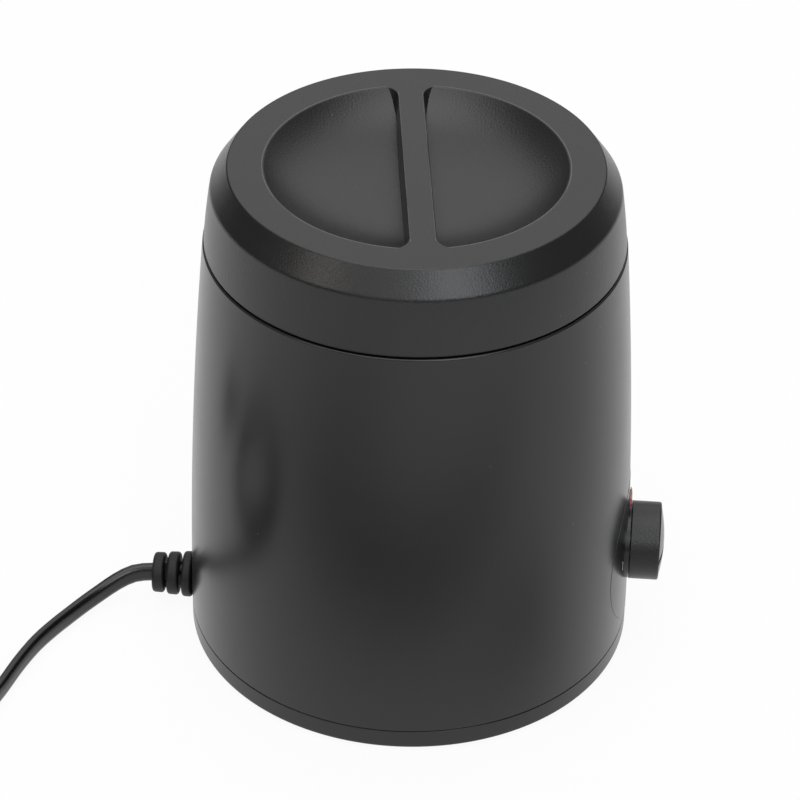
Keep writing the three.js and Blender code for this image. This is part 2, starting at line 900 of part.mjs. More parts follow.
function strainRelief() {
  const rings = reliefStarts.map((start, index) => {
    const near = reliefRoot + start;
    const far = near + reliefRings[index];
    return rodAlongY(reliefRadii[index], near, far, 0, 0);
  });
  const anchorFace = reliefRoot - anchorInset;
  const anchor = box(anchorWidth, anchorThickness, anchorHeight, [
    0, anchorFace - anchorThickness / 2, 0,
  ]);
  const neck = rodAlongY(neckRadius, anchorFace - anchorThickness / 2,
    reliefRoot + reliefStarts[0] + overrun / 2, 0, 0);
  const firstGap = box(2 * neckRadius, reliefStarts[1], bridgeWidth, [
    0, reliefRoot + reliefStarts[1] / 2 + reliefRings[0] / 2, 0,
  ]);
  const secondGap = box(bridgeWidth, reliefStarts[1], 2 * neckRadius + overrun, [
    0, reliefRoot + reliefStarts[1] + reliefStarts[1] / 2 + reliefRings[1] / 2, 0,
  ]);
  const bore = solid(extruded(
    oval(cordThick / 2 + cordGap, cordWide / 2 + cordGap, smallSegments),
    reliefEnd,
  ).rotateX(-Math.PI / 2).translate(0, anchorFace - 2 * anchorThickness, 0));
  const body = joined(anchor, neck, ...rings, firstGap, secondGap);
  return body.subtract(bore);
}

// Terminal block, cord clamp, fuse and strap

function terminalBlock() {
  const [width, depth, height] = blockSize;
  const body = box(width, depth, height, [0, 0, height / 2]);
  const holes = [-1, 1].map((side) => rodAlongY(
    blockHole, -depth, depth, (side * blockPitch) / 2, height / 2, tinySegments,
  ));
  return cutBy(body, ...holes, rod(screwRadius + fitGap, -height, 2 * height, 0, 0,
    tinySegments));
}

function cordClamp() {
  const [width, depth, height] = clampSize;
  const bar = box(width, depth, height, [0, 0, height / 2]);
  const holes = [-clampPostPlace, clampPostPlace].map((x) => rod(
    screwRadius + fitGap, -height, 2 * height, x, 0, tinySegments,
  ));
  return cutBy(bar, ...holes);
}

function thermalFuse() {
  const half = fuseLength / 2;
  const body = turned([
    [0, -half - fuseLeadLength],
    [fuseLead, -half - fuseLeadLength],
    [fuseLead, -half],
    [fuseRadius, -half],
    [fuseRadius, half],
    [fuseLead, half],
    [fuseLead, half + fuseLeadLength],
    [0, half + fuseLeadLength],
  ], tinySegments);
  return body.rotate([0, 90, 0]);
}

// The strap's section in the YZ plane, with the fuse's centre at the origin
function fuseStrap() {
  const inner = fuseRadius + fitGap;
  const outer = inner + strapThickness;
  const high = fuseRadius;
  const low = high - strapThickness;
  const half = strapLength / 2;
  const shape = new THREE.Shape();
  shape.moveTo(-half, high);
  shape.lineTo(-half, low);
  shape.lineTo(-outer, low);
  shape.lineTo(-outer, 0);
  shape.absarc(0, 0, outer, Math.PI, 2 * Math.PI, false);
  shape.lineTo(outer, low);
  shape.lineTo(half, low);
  shape.lineTo(half, high);
  shape.lineTo(inner, high);
  shape.lineTo(inner, 0);
  shape.absarc(0, 0, inner, 0, -Math.PI, true);
  shape.lineTo(-inner, high);
  shape.closePath();
  const strip = solid(extruded(shape, strapWidth, tinySegments / 2)
    .translate(0, 0, -strapWidth / 2)
    .rotateX(Math.PI / 2)
    .rotateZ(Math.PI / 2));
  const holes = [-studPlace, studPlace].map((y) => rod(
    studRadius + fitGap, -fuseRadius, 2 * fuseRadius, 0, y, tinySegments,
  ));
  return cutBy(strip, ...holes);
}

// Wires inside the housing, as routes from terminal to terminal

const fuseHeight = chamberFloor - fitGap - fuseRadius;
const blockWireHeight = blockBottom + blockSize[2] / 2;
const blockBack = blockPlace + blockSize[1] / 2;
const blockFront = blockPlace - blockSize[1] / 2;
const thermostatBack = -(bossFace - fitGap - thermostatLength) + fitGap;
const blockWireX = blockPitch / 2;
const tabReach = bandInner + tabThickness / 2 + wireRadius / 2;
const fuseTip = fuseLength / 2 + fuseLeadLength + fitGap;
const holderBack = -(barrelInside(lampHeight) - 2 * fitGap - holderLength) + fitGap;

function tabEnd(angle) {
  const [x, y] = polar(tabReach, angle);
  return [x, y, bandLow - tabDrop - fitGap];
}

function wireRoutes() {
  const coreRise = cordWide / 4;
  const cordEnd = cordStart - 2 * fitGap;
  const straight = cordEnd - 2 * wireRadius;
  const side = thermostatRadius / 2;
  const [rightTab, leftTab] = tabAngles.map(tabEnd);
  return {
    live_core: [
      [0, cordEnd, cordExit + coreRise],
      [0, straight, cordExit + coreRise],
      [blockWireX / 2, cordEnd - blockWireX, cordExit + 2 * coreRise],
      [blockWireX, blockBack + blockWireX, blockWireHeight],
      [blockWireX, blockBack + fitGap, blockWireHeight],
    ],
    neutral_core: [
      [0, cordEnd, cordExit - coreRise],
      [0, straight, cordExit - coreRise],
      [-blockWireX / 2, cordEnd - blockWireX, cordExit],
      [-blockWireX, blockBack + blockWireX, blockWireHeight],
      [-blockWireX, blockBack + fitGap, blockWireHeight],
    ],
    thermostat_wire: [
      [blockWireX, blockFront - fitGap, blockWireHeight],
      [blockWireX, blockFront - blockWireX, blockWireHeight],
      [side, 0, (blockWireHeight + dialHeight) / 2],
      [side, thermostatBack + blockWireX, dialHeight],
      [side, thermostatBack, dialHeight],
    ],
    fuse_wire: [
      [-side, thermostatBack, dialHeight],
      [-side, thermostatBack + blockWireX, dialHeight],
      [-2 * side, thermostatBack / 2, (dialHeight + fuseHeight) / 2],
      [-fuseTip - blockWireX, 0, fuseHeight],
      [-fuseTip, 0, fuseHeight],
    ],
    heater_live_wire: [
      [fuseTip, 0, fuseHeight],
      [fuseTip + blockWireX, 0, fuseHeight - wireRadius],
      [fuseTip + blockWireX, rightTab[1] / 2, fuseHeight - blockWireX],
      [rightTab[0], rightTab[1] + wireRadius, fuseHeight - blockWireX / 2],
      rightTab,
    ],
    heater_neutral_wire: [
      [-blockWireX, blockFront - fitGap, blockWireHeight],
      [-2 * blockWireX, blockFront - blockWireX, blockWireHeight],
      [-4 * blockWireX, blockPlace, dialHeight - blockWireX],
      [leftTab[0], leftTab[1] + wireRadius, fuseHeight - blockWireX / 2],
      leftTab,
    ],
    lamp_wire: [
      [0, holderBack, lampHeight],
      [0, holderBack + blockWireX, lampHeight - wireRadius],
      [0, thermostatBack, fuseHeight - 2 * wireRadius],
      [0, thermostatBack + 1.4 * blockWireX, dialHeight + 2 * blockWireX],
      [0, thermostatBack + blockWireX, dialHeight + blockWireX],
      [0, thermostatBack, dialHeight + side],
    ],
  };
}

// The cord's free stretch, from the clamp through the relief to the coil, and
// its tail, from the coil to the plug: points chosen by hand on the real route

const coilHigh = coilLow + coilLayer;
const entryTangent = [Math.sin(coilEntry), -Math.cos(coilEntry)];
const [entryX, entryY] = polar(coilRadius, coilEntry);
const coilStart = [
  coilCentre[0] + entryX - cordWide * entryTangent[0],
  coilCentre[1] + entryY - cordWide * entryTangent[1],
];
const exitAngle = coilEntry - 2 * Math.PI * coilTurns;
const exitTangent = [Math.sin(exitAngle), -Math.cos(exitAngle)];
const [exitX, exitY] = polar(coilRadius, exitAngle);
const coilEnd = [
  coilCentre[0] + exitX + cordWide * exitTangent[0],
  coilCentre[1] + exitY + cordWide * exitTangent[1],
];

function cordRoute() {
  return [
    [0, cordStart, cordExit],
    [0, (cordStart + reliefEnd) / 2, cordExit],
    [0, reliefEnd, cordExit],
    [-0.6, 88.6, 8.3],
    [-2.8, 93.8, 7.2],
    [-6.2, 98.7, 5.6],
    [-10.6, 103.3, 4.2],
    [-16.2, 107.5, cordOnFloor],
    [-23.6, 111.5, cordOnFloor],
    [-32.1, 115.2, cordOnFloor],
    [-42.5, 118.5, cordOnFloor],
    [-56.2, 122.3, cordOnFloor],
    [coilStart[0] - cordWide * entryTangent[0], coilStart[1] - cordWide * entryTangent[1],
      coilLow],
    [coilStart[0] - fitGap * entryTangent[0], coilStart[1] - fitGap * entryTangent[1],
      coilLow],
  ];
}

const plugHeight = plugThickness / 2;
const tailEnd = coilEnd[0] + tailLength;

function tailRoute() {
  const y = coilEnd[1];
  const heightShares = [1, 0.85, 0.4, 0.05, 0];
  const alongShares = [0, 0.2, 0.5, 0.8, 1];
  return alongShares.map((share, index) => [
    coilEnd[0] + fitGap + share * (tailLength - 2 * fitGap),
    y,
    plugHeight + heightShares[index] * (coilHigh - plugHeight),
  ]);
}

// The coil spirals in on the floor, climbs to the second layer in the half
// turn where it reverses, dipping inwards to clear its neighbours, and
// spirals out again
function coilPoint(turn) {
  const middle = coilTurns / 2;
  const climb = THREE.MathUtils.clamp(turn - middle + climbTurn / 2, 0, climbTurn) / climbTurn;
  const wound = middle - Math.abs(turn - middle);
  const dip = coilDip * Math.sin(Math.PI * climb) ** 2;
  const radius = coilRadius - coilPitch * wound - dip;
  const [x, y] = polar(radius, coilEntry - 2 * Math.PI * turn);
  const lift = climb * climb * (3 - 2 * climb);
  return new THREE.Vector3(coilCentre[0] + x, coilCentre[1] + y, coilLow + lift * coilLayer);
}

function coilPath() {
  const steps = Math.round(coilTurns * stepsPerTurn);
  const turns = Array.from({ length: steps + 1 }, (_, index) => (index * coilTurns) / steps);
  const start = new THREE.Vector3(...coilStart, coilLow);
  const end = new THREE.Vector3(...coilEnd, coilHigh);
  return [start, ...turns.map(coilPoint), end];
}

// A closed tube with its wide side upright, ring by ring along the points
function windTube(path, sides) {
  const vertices = [];
  const triangles = [];
  path.forEach((point, index) => {
    const before = path[Math.max(index - 1, 0)];
    const after = path[Math.min(index + 1, path.length - 1)];
    const along = after.clone().sub(before).normalize();
    const across = new THREE.Vector3(along.y, -along.x, 0).normalize();
    const upward = across.clone().cross(along);
    for (let side = 0; side < sides; side += 1) {
      const [u, v] = polar(1, (2 * Math.PI * (side + 0.5)) / sides);
      const corner = point.clone()
        .addScaledVector(across, (u * cordThick) / 2)
        .addScaledVector(upward, (v * cordWide) / 2);
      vertices.push(corner.x, corner.y, corner.z);
    }
    if (index === 0) return;
    for (let side = 0; side < sides; side += 1) {
      const next = (side + 1) % sides;
      const a = (index - 1) * sides + side;
      const b = (index - 1) * sides + next;
      triangles.push(a, a + sides, b, b, a + sides, b + sides);
    }
  });
  const last = (path.length - 1) * sides;
  for (let side = 1; side < sides - 1; side += 1) {
    triangles.push(0, side, side + 1, last, last + side + 1, last + side);
  }
  const geometry = new THREE.BufferGeometry();
  geometry.setAttribute("position", new THREE.Float32BufferAttribute(vertices, 3));
  geometry.setIndex(triangles);
  return solid(geometry);
}

// The least distance between turns, less the cord's own thickness there
const quarterShares = [0, 0.25, 0.5, 0.75];

function leastCoilGap(path) {
  let least = Infinity;
  for (let i = 0; i < path.length; i += 1) {
    for (let j = i + stepsPerTurn / 2; j < path.length; j += 1) {
      for (const share of quarterShares) {
        const other = path[j].clone().lerp(path[Math.min(j + 1, path.length - 1)], share);
        const flat = Math.hypot(path[i].x - other.x, path[i].y - other.y);
        const high = Math.abs(path[i].z - other.z);
        const gap = Math.max(flat - cordThick, high - cordWide);
        least = Math.min(least, gap);
      }
    }
  }
  return least;
}

// A strap round the coil's turns: a rounded ring in the plane that the turns
// cross, as wide as the strap along them
function cordTie() {
  const clockwise = (coilEntry - tieAngle) / (2 * Math.PI) + 1;
  const turnsHere = Array.from({ length: Math.ceil(coilTurns) }, (_, index) => clockwise + index)
    .filter((turn) => turn < coilTurns)
    .map(coilPoint)
    .map((point) => Math.hypot(point.x - coilCentre[0], point.y - coilCentre[1]));
  const reach = cordThick / 2 + tieGap;
  const inside = {
    left: Math.min(...turnsHere) - reach,
    right: Math.max(...turnsHere) + reach,
    low: coilLow - cordWide / 2 - tieGap,
    high: coilHigh + cordWide / 2 + tieGap,
  };
  const rounded = (grow, path) => {
    const [left, right] = [inside.left - grow, inside.right + grow];
    const [low, high] = [inside.low - grow, inside.high + grow];
    const round = tieRound + grow - tieThickness;
    path.moveTo(left + round, low);
    path.lineTo(right - round, low);
    path.absarc(right - round, low + round, round, -Math.PI / 2, 0, false);
    path.absarc(right - round, high - round, round, 0, Math.PI / 2, false);
    path.absarc(left + round, high - round, round, Math.PI / 2, Math.PI, false);
    path.absarc(left + round, low + round, round, Math.PI, 1.5 * Math.PI, false);
    return path;
  };
  const shape = rounded(tieThickness, new THREE.Shape());
  shape.holes.push(rounded(0, new THREE.Path()));
  const strap = extruded(shape, tieWidth, tinySegments / 2)
    .translate(0, 0, -tieWidth / 2)
    .rotateX(Math.PI / 2);
  return solid(strap.rotateZ(tieAngle));
}

function plugBody() {
  const half = plugThickness / 2;
  const shape = new THREE.Shape();
  const noseShares = [0.5, 0.85, 1];
  shape.moveTo(0, -noseShares[0] * plugWidth / 2);
  shape.lineTo(plugLength * noseShares[0], -noseShares[2] * plugWidth / 2);
  shape.lineTo(plugLength, -noseShares[2] * plugWidth / 2);
  shape.lineTo(plugLength, noseShares[2] * plugWidth / 2);
  shape.lineTo(plugLength * noseShares[0], noseShares[2] * plugWidth / 2);
  shape.lineTo(0, noseShares[0] * plugWidth / 2);
  shape.closePath();
  const options = {
    depth: plugThickness - plugRound,
    bevelThickness: plugRound / 2,
    bevelSize: plugRound / 2,
    bevelOffset: -plugRound / 2,
    bevelSegments: 2,
  };
  const body = solid(new THREE.ExtrudeGeometry(shape, options)
    .translate(bootLength, 0, plugRound / 2 - half));
  const boot = solid(new THREE.CylinderGeometry(bootRadius, cordWide / 2 + fitGap, bootLength,
    smallSegments).rotateZ(-Math.PI / 2).translate(bootLength / 2, 0, 0));
  const link = solid(new THREE.CylinderGeometry(bootRadius, bootRadius, plugLength / 2,
    smallSegments).rotateZ(-Math.PI / 2).translate(bootLength + plugLength / 4, 0, 0));
  return joined(body, boot, link);
}

function plugPin() {
  const tip = pinRadius / 2;
  const pin = turned([
    [0, 0],
    [pinRadius, 0],
    [pinRadius, pinLength - tip],
    [pinRadius - tip, pinLength],
    [0, pinLength],
  ], tinySegments);
  return pin.rotate([0, 90, 0]);
}

// Materials

function material(color, roughness, metalness = 0) {
  return new THREE.MeshStandardMaterial({ color, roughness, metalness });
}

const satinBlack = material("#1d1d1f", 0.42);
const lidBlack = material("#222224", 0.4);
const softBlack = material("#141415", 0.7);
const glossBlack = material("#0f0f10", 0.25);
const lampRed = material("#c3281e", 0.2);
const aluminium = material("#b9bbbe", 0.35, 1);
const steel = material("#8f9194", 0.35, 1);
const brass = material("#b48a45", 0.35, 1);
const mica = material("#a39678", 0.6);
const felt = material("#d8d5cc", 0.95);
const nylon = material("#e6e3da", 0.5);
const liveBrown = material("#5a3420", 0.5);
const neutralBlue = material("#27508c", 0.5);
const sleeveWhite = material("#e9e7e1", 0.6);

// The assembly

const waxHeater = new THREE.Group();

function piece(name, shape, finish, parent = waxHeater, at = [0, 0, 0], turn = [0, 0, 0]) {
  const mesh = new THREE.Mesh(geometryOf(shape), finish);
  mesh.name = name;
  mesh.position.set(...at);
  mesh.rotation.set(...turn);
  parent.add(mesh);
}

function frameAt(at, turn = [0, 0, 0]) {
  const group = new THREE.Group();
  group.position.set(...at);
  group.rotation.set(...turn);
  waxHeater.add(group);
  return group;
}

piece("housing", housing(), satinBlack);
piece("base_cover", baseCover(), satinBlack);
footAngles.forEach((angle, index) => {
  piece(`foot_${index + 1}`, foot(), softBlack, waxHeater, [...polar(footPlace, angle), 0]);
});
const baseScrewLow = pocketTop - fitGap - screwHeadHeight;
pillarAngles.forEach((angle, index) => {
  const at = [...polar(pillarPlace, angle), baseScrewLow];
  piece(`base_screw_${index + 1}`, screw(baseScrewLength), steel, waxHeater, at);
});

piece("lid", lid(), lidBlack, frameAt([0, 0, lidBottom], [0, 0, barTurn]));

piece("heating_chamber", heatingChamber(), aluminium);
flangeAngles.forEach((angle, index) => {
  const at = [...polar(flangeScrewPlace, angle), flangeTop + fitGap + screwHeadHeight];
  piece(`flange_screw_${index + 1}`, screw(flangeScrewLength), steel, waxHeater, at,
    [Math.PI, 0, 0]);
});
piece("heater_band", heaterBand(), mica, waxHeater, [0, 0, bandLow]);
const lugEdge = bandInner * Math.sin(bandSlit) + lugThickness + fitGap;
lugHeights.forEach((z, index) => {
  const at = [-lugScrewPlace, -lugEdge - screwHeadHeight, bandLow + z];
  piece(`band_screw_${index + 1}`, screw(lugScrewLength), steel, waxHeater, at,
    [-Math.PI / 2, 0, 0]);
});
piece("insulation", insulation(), felt, waxHeater, [0, 0, bandLow + feltInset]);

piece("wax_pot", waxPot(), aluminium);
piece("pot_bail", bail(), steel, waxHeater, [0, 0, pivotHeight]);

const knobFrame = frameAt([0, -knobBack, dialHeight]);
piece("knob", knob(), satinBlack, knobFrame);
piece("knob_pointer", knobPointer(), softBlack, knobFrame);
const shaftFront = knobLength - knobDome / 2 - fitGap;
piece("thermostat_shaft", shaft(), brass, knobFrame, [0, shaftLength - shaftFront, 0]);
piece("dial_plate", dialPlate(), satinBlack);
piece("thermostat", thermostat(), nylon, waxHeater, [0, 0, dialHeight]);
piece("thermostat_nut", hexNut(nutRadius, bushRadius + fitGap, nutThickness), steel,
  waxHeater, [0, -dialFace - fitGap - nutThickness / 2, dialHeight]);
piece("indicator_lens", indicatorLens(), lampRed, waxHeater, [0, 0, lampHeight]);
piece("lamp_holder", lampHolder(), nylon, waxHeater, [0, 0, lampHeight]);

piece("strain_relief", strainRelief(), softBlack, waxHeater, [0, 0, cordExit]);
piece("cord_clamp", cordClamp(), nylon, waxHeater, [0, clampPlace, postTop + fitGap]);
const clampScrewHigh = postTop + 2 * fitGap + clampSize[2] + screwHeadHeight;
[-clampPostPlace, clampPostPlace].forEach((x, index) => {
  piece(`clamp_screw_${index + 1}`, screw(clampScrewLength), steel, waxHeater,
    [x, clampPlace, clampScrewHigh], [Math.PI, 0, 0]);
});
piece("terminal_block", terminalBlock(), nylon, waxHeater, [0, blockPlace, blockBottom]);
const blockScrewHigh = blockBottom + blockSize[2] + fitGap + screwHeadHeight;
piece("terminal_screw", screw(blockSize[2] + blockStand / 2), steel, waxHeater,
  [0, blockPlace, blockScrewHigh], [Math.PI, 0, 0]);
piece("thermal_fuse", thermalFuse(), sleeveWhite, waxHeater, [0, 0, fuseHeight]);
piece("fuse_strap", fuseStrap(), steel, waxHeater, [0, 0, fuseHeight]);
const studNutHeight = fuseHeight + fuseRadius - strapThickness - fitGap - studNutThickness / 2;
[-studPlace, studPlace].forEach((y, index) => {
  piece(`stud_nut_${index + 1}`, hexNut(studNutRadius, studRadius + fitGap, studNutThickness),
    steel, waxHeater, [0, y, studNutHeight], [Math.PI / 2, 0, 0]);
});

const wireFinishes = {
  live_core: liveBrown,
  neutral_core: neutralBlue,
  thermostat_wire: liveBrown,
  fuse_wire: sleeveWhite,
  heater_live_wire: sleeveWhite,
  heater_neutral_wire: sleeveWhite,
  lamp_wire: neutralBlue,
};
const wireSteps = 14;
for (const [name, route] of Object.entries(wireRoutes())) {
  piece(name, tube(route, wireRadius, wireRadius, coilSides, wireSteps), wireFinishes[name]);
}

const route = cordRoute();
const routeLength = route.slice(1).reduce((sum, point, index) => (
  sum + new THREE.Vector3(...point).distanceTo(new THREE.Vector3(...route[index]))
), 0);
const routeSteps = Math.round(routeLength / cordStep / cordThick);
piece("power_cord", tube(route, cordWide / 2, cordThick / 2, cordSides, routeSteps), glossBlack);
piece("cord_coil", windTube(coilPath(), coilSides), glossBlack);
piece("cord_tail", tube(tailRoute(), cordWide / 2, cordThick / 2, cordSides, cordSides),
  glossBlack);
piece("cord_tie", cordTie(), softBlack, waxHeater, [...coilCentre, 0]);
const plugFrame = frameAt([tailEnd, coilEnd[1], plugHeight]);
piece("plug_body", plugBody(), softBlack, plugFrame);
[-pinSpacing / 2, pinSpacing / 2].forEach((y, index) => {
  piece(`plug_pin_${index + 1}`, plugPin(), steel, plugFrame,
    [bootLength + plugLength + fitGap, y, 0]);
});

const lengthOf = (points) => points.slice(1).reduce((sum, point, index) => (
  sum + point.distanceTo(points[index])
), 0);
const cordLength = routeLength + lengthOf(coilPath()) + tailLength;
console.log(`cord length: ${cordLength.toFixed(0)} mm`);
console.log(`least gap between the cord's turns: ${leastCoilGap(coilPath()).toFixed(2)} mm`);

export default waxHeater;
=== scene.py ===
from math import atan2, copysign, cos, exp, hypot, pi, radians, sin, sqrt, tan

import bmesh
import bpy
from mathutils import Matrix, Vector


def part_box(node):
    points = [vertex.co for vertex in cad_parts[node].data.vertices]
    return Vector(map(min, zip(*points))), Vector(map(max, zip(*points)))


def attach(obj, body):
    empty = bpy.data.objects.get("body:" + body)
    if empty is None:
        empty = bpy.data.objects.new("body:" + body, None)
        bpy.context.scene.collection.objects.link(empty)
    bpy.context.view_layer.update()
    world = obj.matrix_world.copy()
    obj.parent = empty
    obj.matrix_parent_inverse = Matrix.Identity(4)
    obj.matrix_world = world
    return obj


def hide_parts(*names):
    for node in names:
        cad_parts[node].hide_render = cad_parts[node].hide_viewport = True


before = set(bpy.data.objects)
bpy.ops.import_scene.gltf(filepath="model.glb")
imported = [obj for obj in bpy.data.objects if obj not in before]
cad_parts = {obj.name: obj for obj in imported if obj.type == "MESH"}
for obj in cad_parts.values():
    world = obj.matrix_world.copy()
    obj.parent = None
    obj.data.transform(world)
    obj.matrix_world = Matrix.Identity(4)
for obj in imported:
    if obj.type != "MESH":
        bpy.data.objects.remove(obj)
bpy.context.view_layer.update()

bl_info = {
    "name": "Wax Heater",
    "version": (1, 0, 0),
    "blender": (4, 5, 0),
    "location": "View3D > Sidebar > Wax Heater",
    "description": "Models a black wax heater with its lid, pot, dial, lamp and flat cord",
    "category": "Add Mesh",
}

# Lengths in the lists below are millimetres; the scene is in metres.
MM = 0.001
PLUG_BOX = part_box("plug_body")
WELD = 0.000002             # points closer than this, in metres, become one

FIT = 0.3
STAND_OFF = 1.5
SEAM = 7.8
WALL = 2.5
RIM = 141.4
LEDGE = 130.0
LEDGE_RADIUS = 53.2
PILLAR_RING = 58.0
FOOT_RING = 52.0
SHAFT_HOLE = 5.0
CORD_HOLE = 4.8
FRONT = (-76.0, -58.0)      # how far a hole's tool reaches through the front wall
BACK = (62.0, 76.0)         # and through the wall at the cord

SHOULDER = 60.7             # the lid's radius under its chamfer
RECESS_RADIUS = 44.9
LID_TURN = radians(7.1)
BAIL_HEIGHT = 137.5

DIAL_HEIGHT = 33.5
DIAL_PROUD = 0.3
DIAL_FACE = 0.08
DIAL_PLATE = 1.5
DIAL_RADIUS = 24.7
PRINT_PLANE = -75.0         # where the scale is drawn before it is laid on the dial
KNOB_LONG = 9.2
LAMP_HEIGHT = 50.0
LENS_RADIUS = 3.2
LENS_PROUD = 0.6

CORD_EXIT = 8.5
CORD_HALF = 3.15
RELIEF_LONG = 13.1
COIL_X, COIL_Y = -69.0, 168.2
COIL_RADIUS = 41.0
COIL_ENTRY = radians(-105)
COIL_TURNS = 4 + 11 / 24
COIL_PITCH = 4.9            # from one turn to the next
COIL_LAYER = 7.2            # from the lower layer to the upper
COIL_CLIMB = 0.5            # the turns that the climb between them takes
COIL_DIP = 4.6              # how far the climb leans inwards
COIL_LOW = CORD_HALF + 0.8 + 0.3 + 0.5
COIL_HIGH = COIL_LOW + COIL_LAYER
STRAP_WIDE = 8.0
TAIL = 34.0
PLUG_HEIGHT = 7.0
PIN_ASIDE = 9.3

HOLD = 1.3                  # a rounding's holding points, in its own reach
SPECK_SIZE = 0.045
DUST_COLOUR = (0.30, 0.29, 0.27)
# the colour of the painted highlight line round the lid's recess
RIM_HIGHLIGHT_COLOUR = (0.09, 0.09, 0.09)
RING_GAP = 0.0008


# Sizes and colours

class HeaterSizes(bpy.types.PropertyGroup):
    """Sizes of the heater that its maker may change"""
    base_radius: bpy.props.FloatProperty(
        name="Base radius", description="Radius of the barrel where it stands",
        default=69 * MM, min=0.0, unit="LENGTH")
    barrel_bow: bpy.props.FloatProperty(
        name="Barrel bow", description="Radius of the arc that the barrel's side follows",
        default=1663 * MM, min=0.0, unit="LENGTH")
    lid_height: bpy.props.FloatProperty(
        name="Lid height", description="Height of the lid over its seam",
        default=25.5 * MM, min=0.0, unit="LENGTH")
    recess_depth: bpy.props.FloatProperty(
        name="Recess depth", description="Depth of the dished recess in the lid",
        default=9 * MM, min=0.0, unit="LENGTH")
    bar_width: bpy.props.FloatProperty(
        name="Grip bar width", description="Width of the bar across the lid's recess",
        default=7.8 * MM, min=0.0, unit="LENGTH")
    knob_radius: bpy.props.FloatProperty(
        name="Knob radius", description="Radius of the thermostat knob",
        default=12.25 * MM, min=0.0, unit="LENGTH")
    cord_wide: bpy.props.FloatProperty(
        name="Cord width", description="Width of the flat twin cord",
        default=6.3 * MM, min=0.0, unit="LENGTH")
    cord_thick: bpy.props.FloatProperty(
        name="Cord thickness", description="Thickness of the flat twin cord",
        default=4 * MM, min=0.0, unit="LENGTH")
    round_steps: bpy.props.IntProperty(
        name="Steps round the barrel", description="Steps in one turn of the large round pieces",
        default=192, min=24)


class HeaterColours(bpy.types.PropertyGroup):
    """Colours of the heater that its maker may change"""
    body: bpy.props.FloatVectorProperty(
        name="Body", description="Colour of the barrel and its base", subtype="COLOR",
        default=(0.0060, 0.0060, 0.0066), min=0.0, max=1.0)
    lid: bpy.props.FloatVectorProperty(
        name="Lid", description="Colour of the lid", subtype="COLOR",
        default=(0.0085, 0.0085, 0.0088), min=0.0, max=1.0)
    soft: bpy.props.FloatVectorProperty(
        name="Soft plastic", description="Colour of the strain relief, strap and plug",
        subtype="COLOR", default=(0.0060, 0.0060, 0.0064), min=0.0, max=1.0)
    sheath: bpy.props.FloatVectorProperty(
        name="Cord sheath", description="Colour of the flat cord", subtype="COLOR",
        default=(0.0050, 0.0050, 0.0054), min=0.0, max=1.0)
    lamp: bpy.props.FloatVectorProperty(
        name="Lamp", description="Colour of the pilot lamp's lens", subtype="COLOR",
        default=(0.32, 0.075, 0.065), min=0.0, max=1.0)
    print_white: bpy.props.FloatVectorProperty(
        name="Scale print", description="Colour of the dial's numbers and marks",
        subtype="COLOR", default=(0.62, 0.62, 0.60), min=0.0, max=1.0)


class HeaterStudio(bpy.types.PropertyGroup):
    """Light and camera"""
    sky: bpy.props.FloatProperty(
        name="Tent light", description="Brightness of the light tent overhead",
        default=1.18, min=0.0)
    horizon: bpy.props.FloatProperty(
        name="Horizon light", description="Brightness of the room near the horizon",
        default=0.10, min=0.0)
    front: bpy.props.FloatProperty(
        name="Front lamps", description="Power of the two lamps on the camera's side",
        default=3.0, min=0.0, unit="POWER")
    lens: bpy.props.FloatProperty(
        name="Lens", description="Focal length of the camera", default=153.94, min=1.0,
        unit="CAMERA")


def sizes():
    return bpy.context.scene.wax_heater_sizes


def colours():
    return bpy.context.scene.wax_heater_colours


def studio():
    return bpy.context.scene.wax_heater_studio


def barrel_radius(height):
    """The barrel's outer radius at a height, in millimetres"""
    base = sizes().base_radius / MM
    bow = sizes().barrel_bow / MM
    return base - (height - STAND_OFF) ** 2 / (2 * bow)


def spread(low, high, steps):
    return [low + (high - low) * i / steps for i in range(steps + 1)]


def around(radius, first, count=4):
    """The angle, x and y of each of several even places round the axis"""
    angles = [radians(first + 360 / count * index) for index in range(count)]
    return [(angle, radius * cos(angle), radius * sin(angle)) for angle in angles]


# Shader maths

def arithmetic(operation, swapped=False):
    def method(self, other):
        values = (other, self) if swapped else (self, other)
        return self.finish.maths(operation, *values)
    return method


class Flow:
    """One value or colour in a finish's nodes, which Python's arithmetic extends"""

    def __init__(self, finish, socket):
        self.finish = finish
        self.socket = socket

    __add__ = arithmetic("ADD")
    __radd__ = arithmetic("ADD", swapped=True)
    __sub__ = arithmetic("SUBTRACT")
    __rsub__ = arithmetic("SUBTRACT", swapped=True)
    __mul__ = arithmetic("MULTIPLY")
    __truediv__ = arithmetic("DIVIDE")
    __pow__ = arithmetic("POWER")
    __lt__ = arithmetic("LESS_THAN")
    __gt__ = arithmetic("GREATER_THAN")


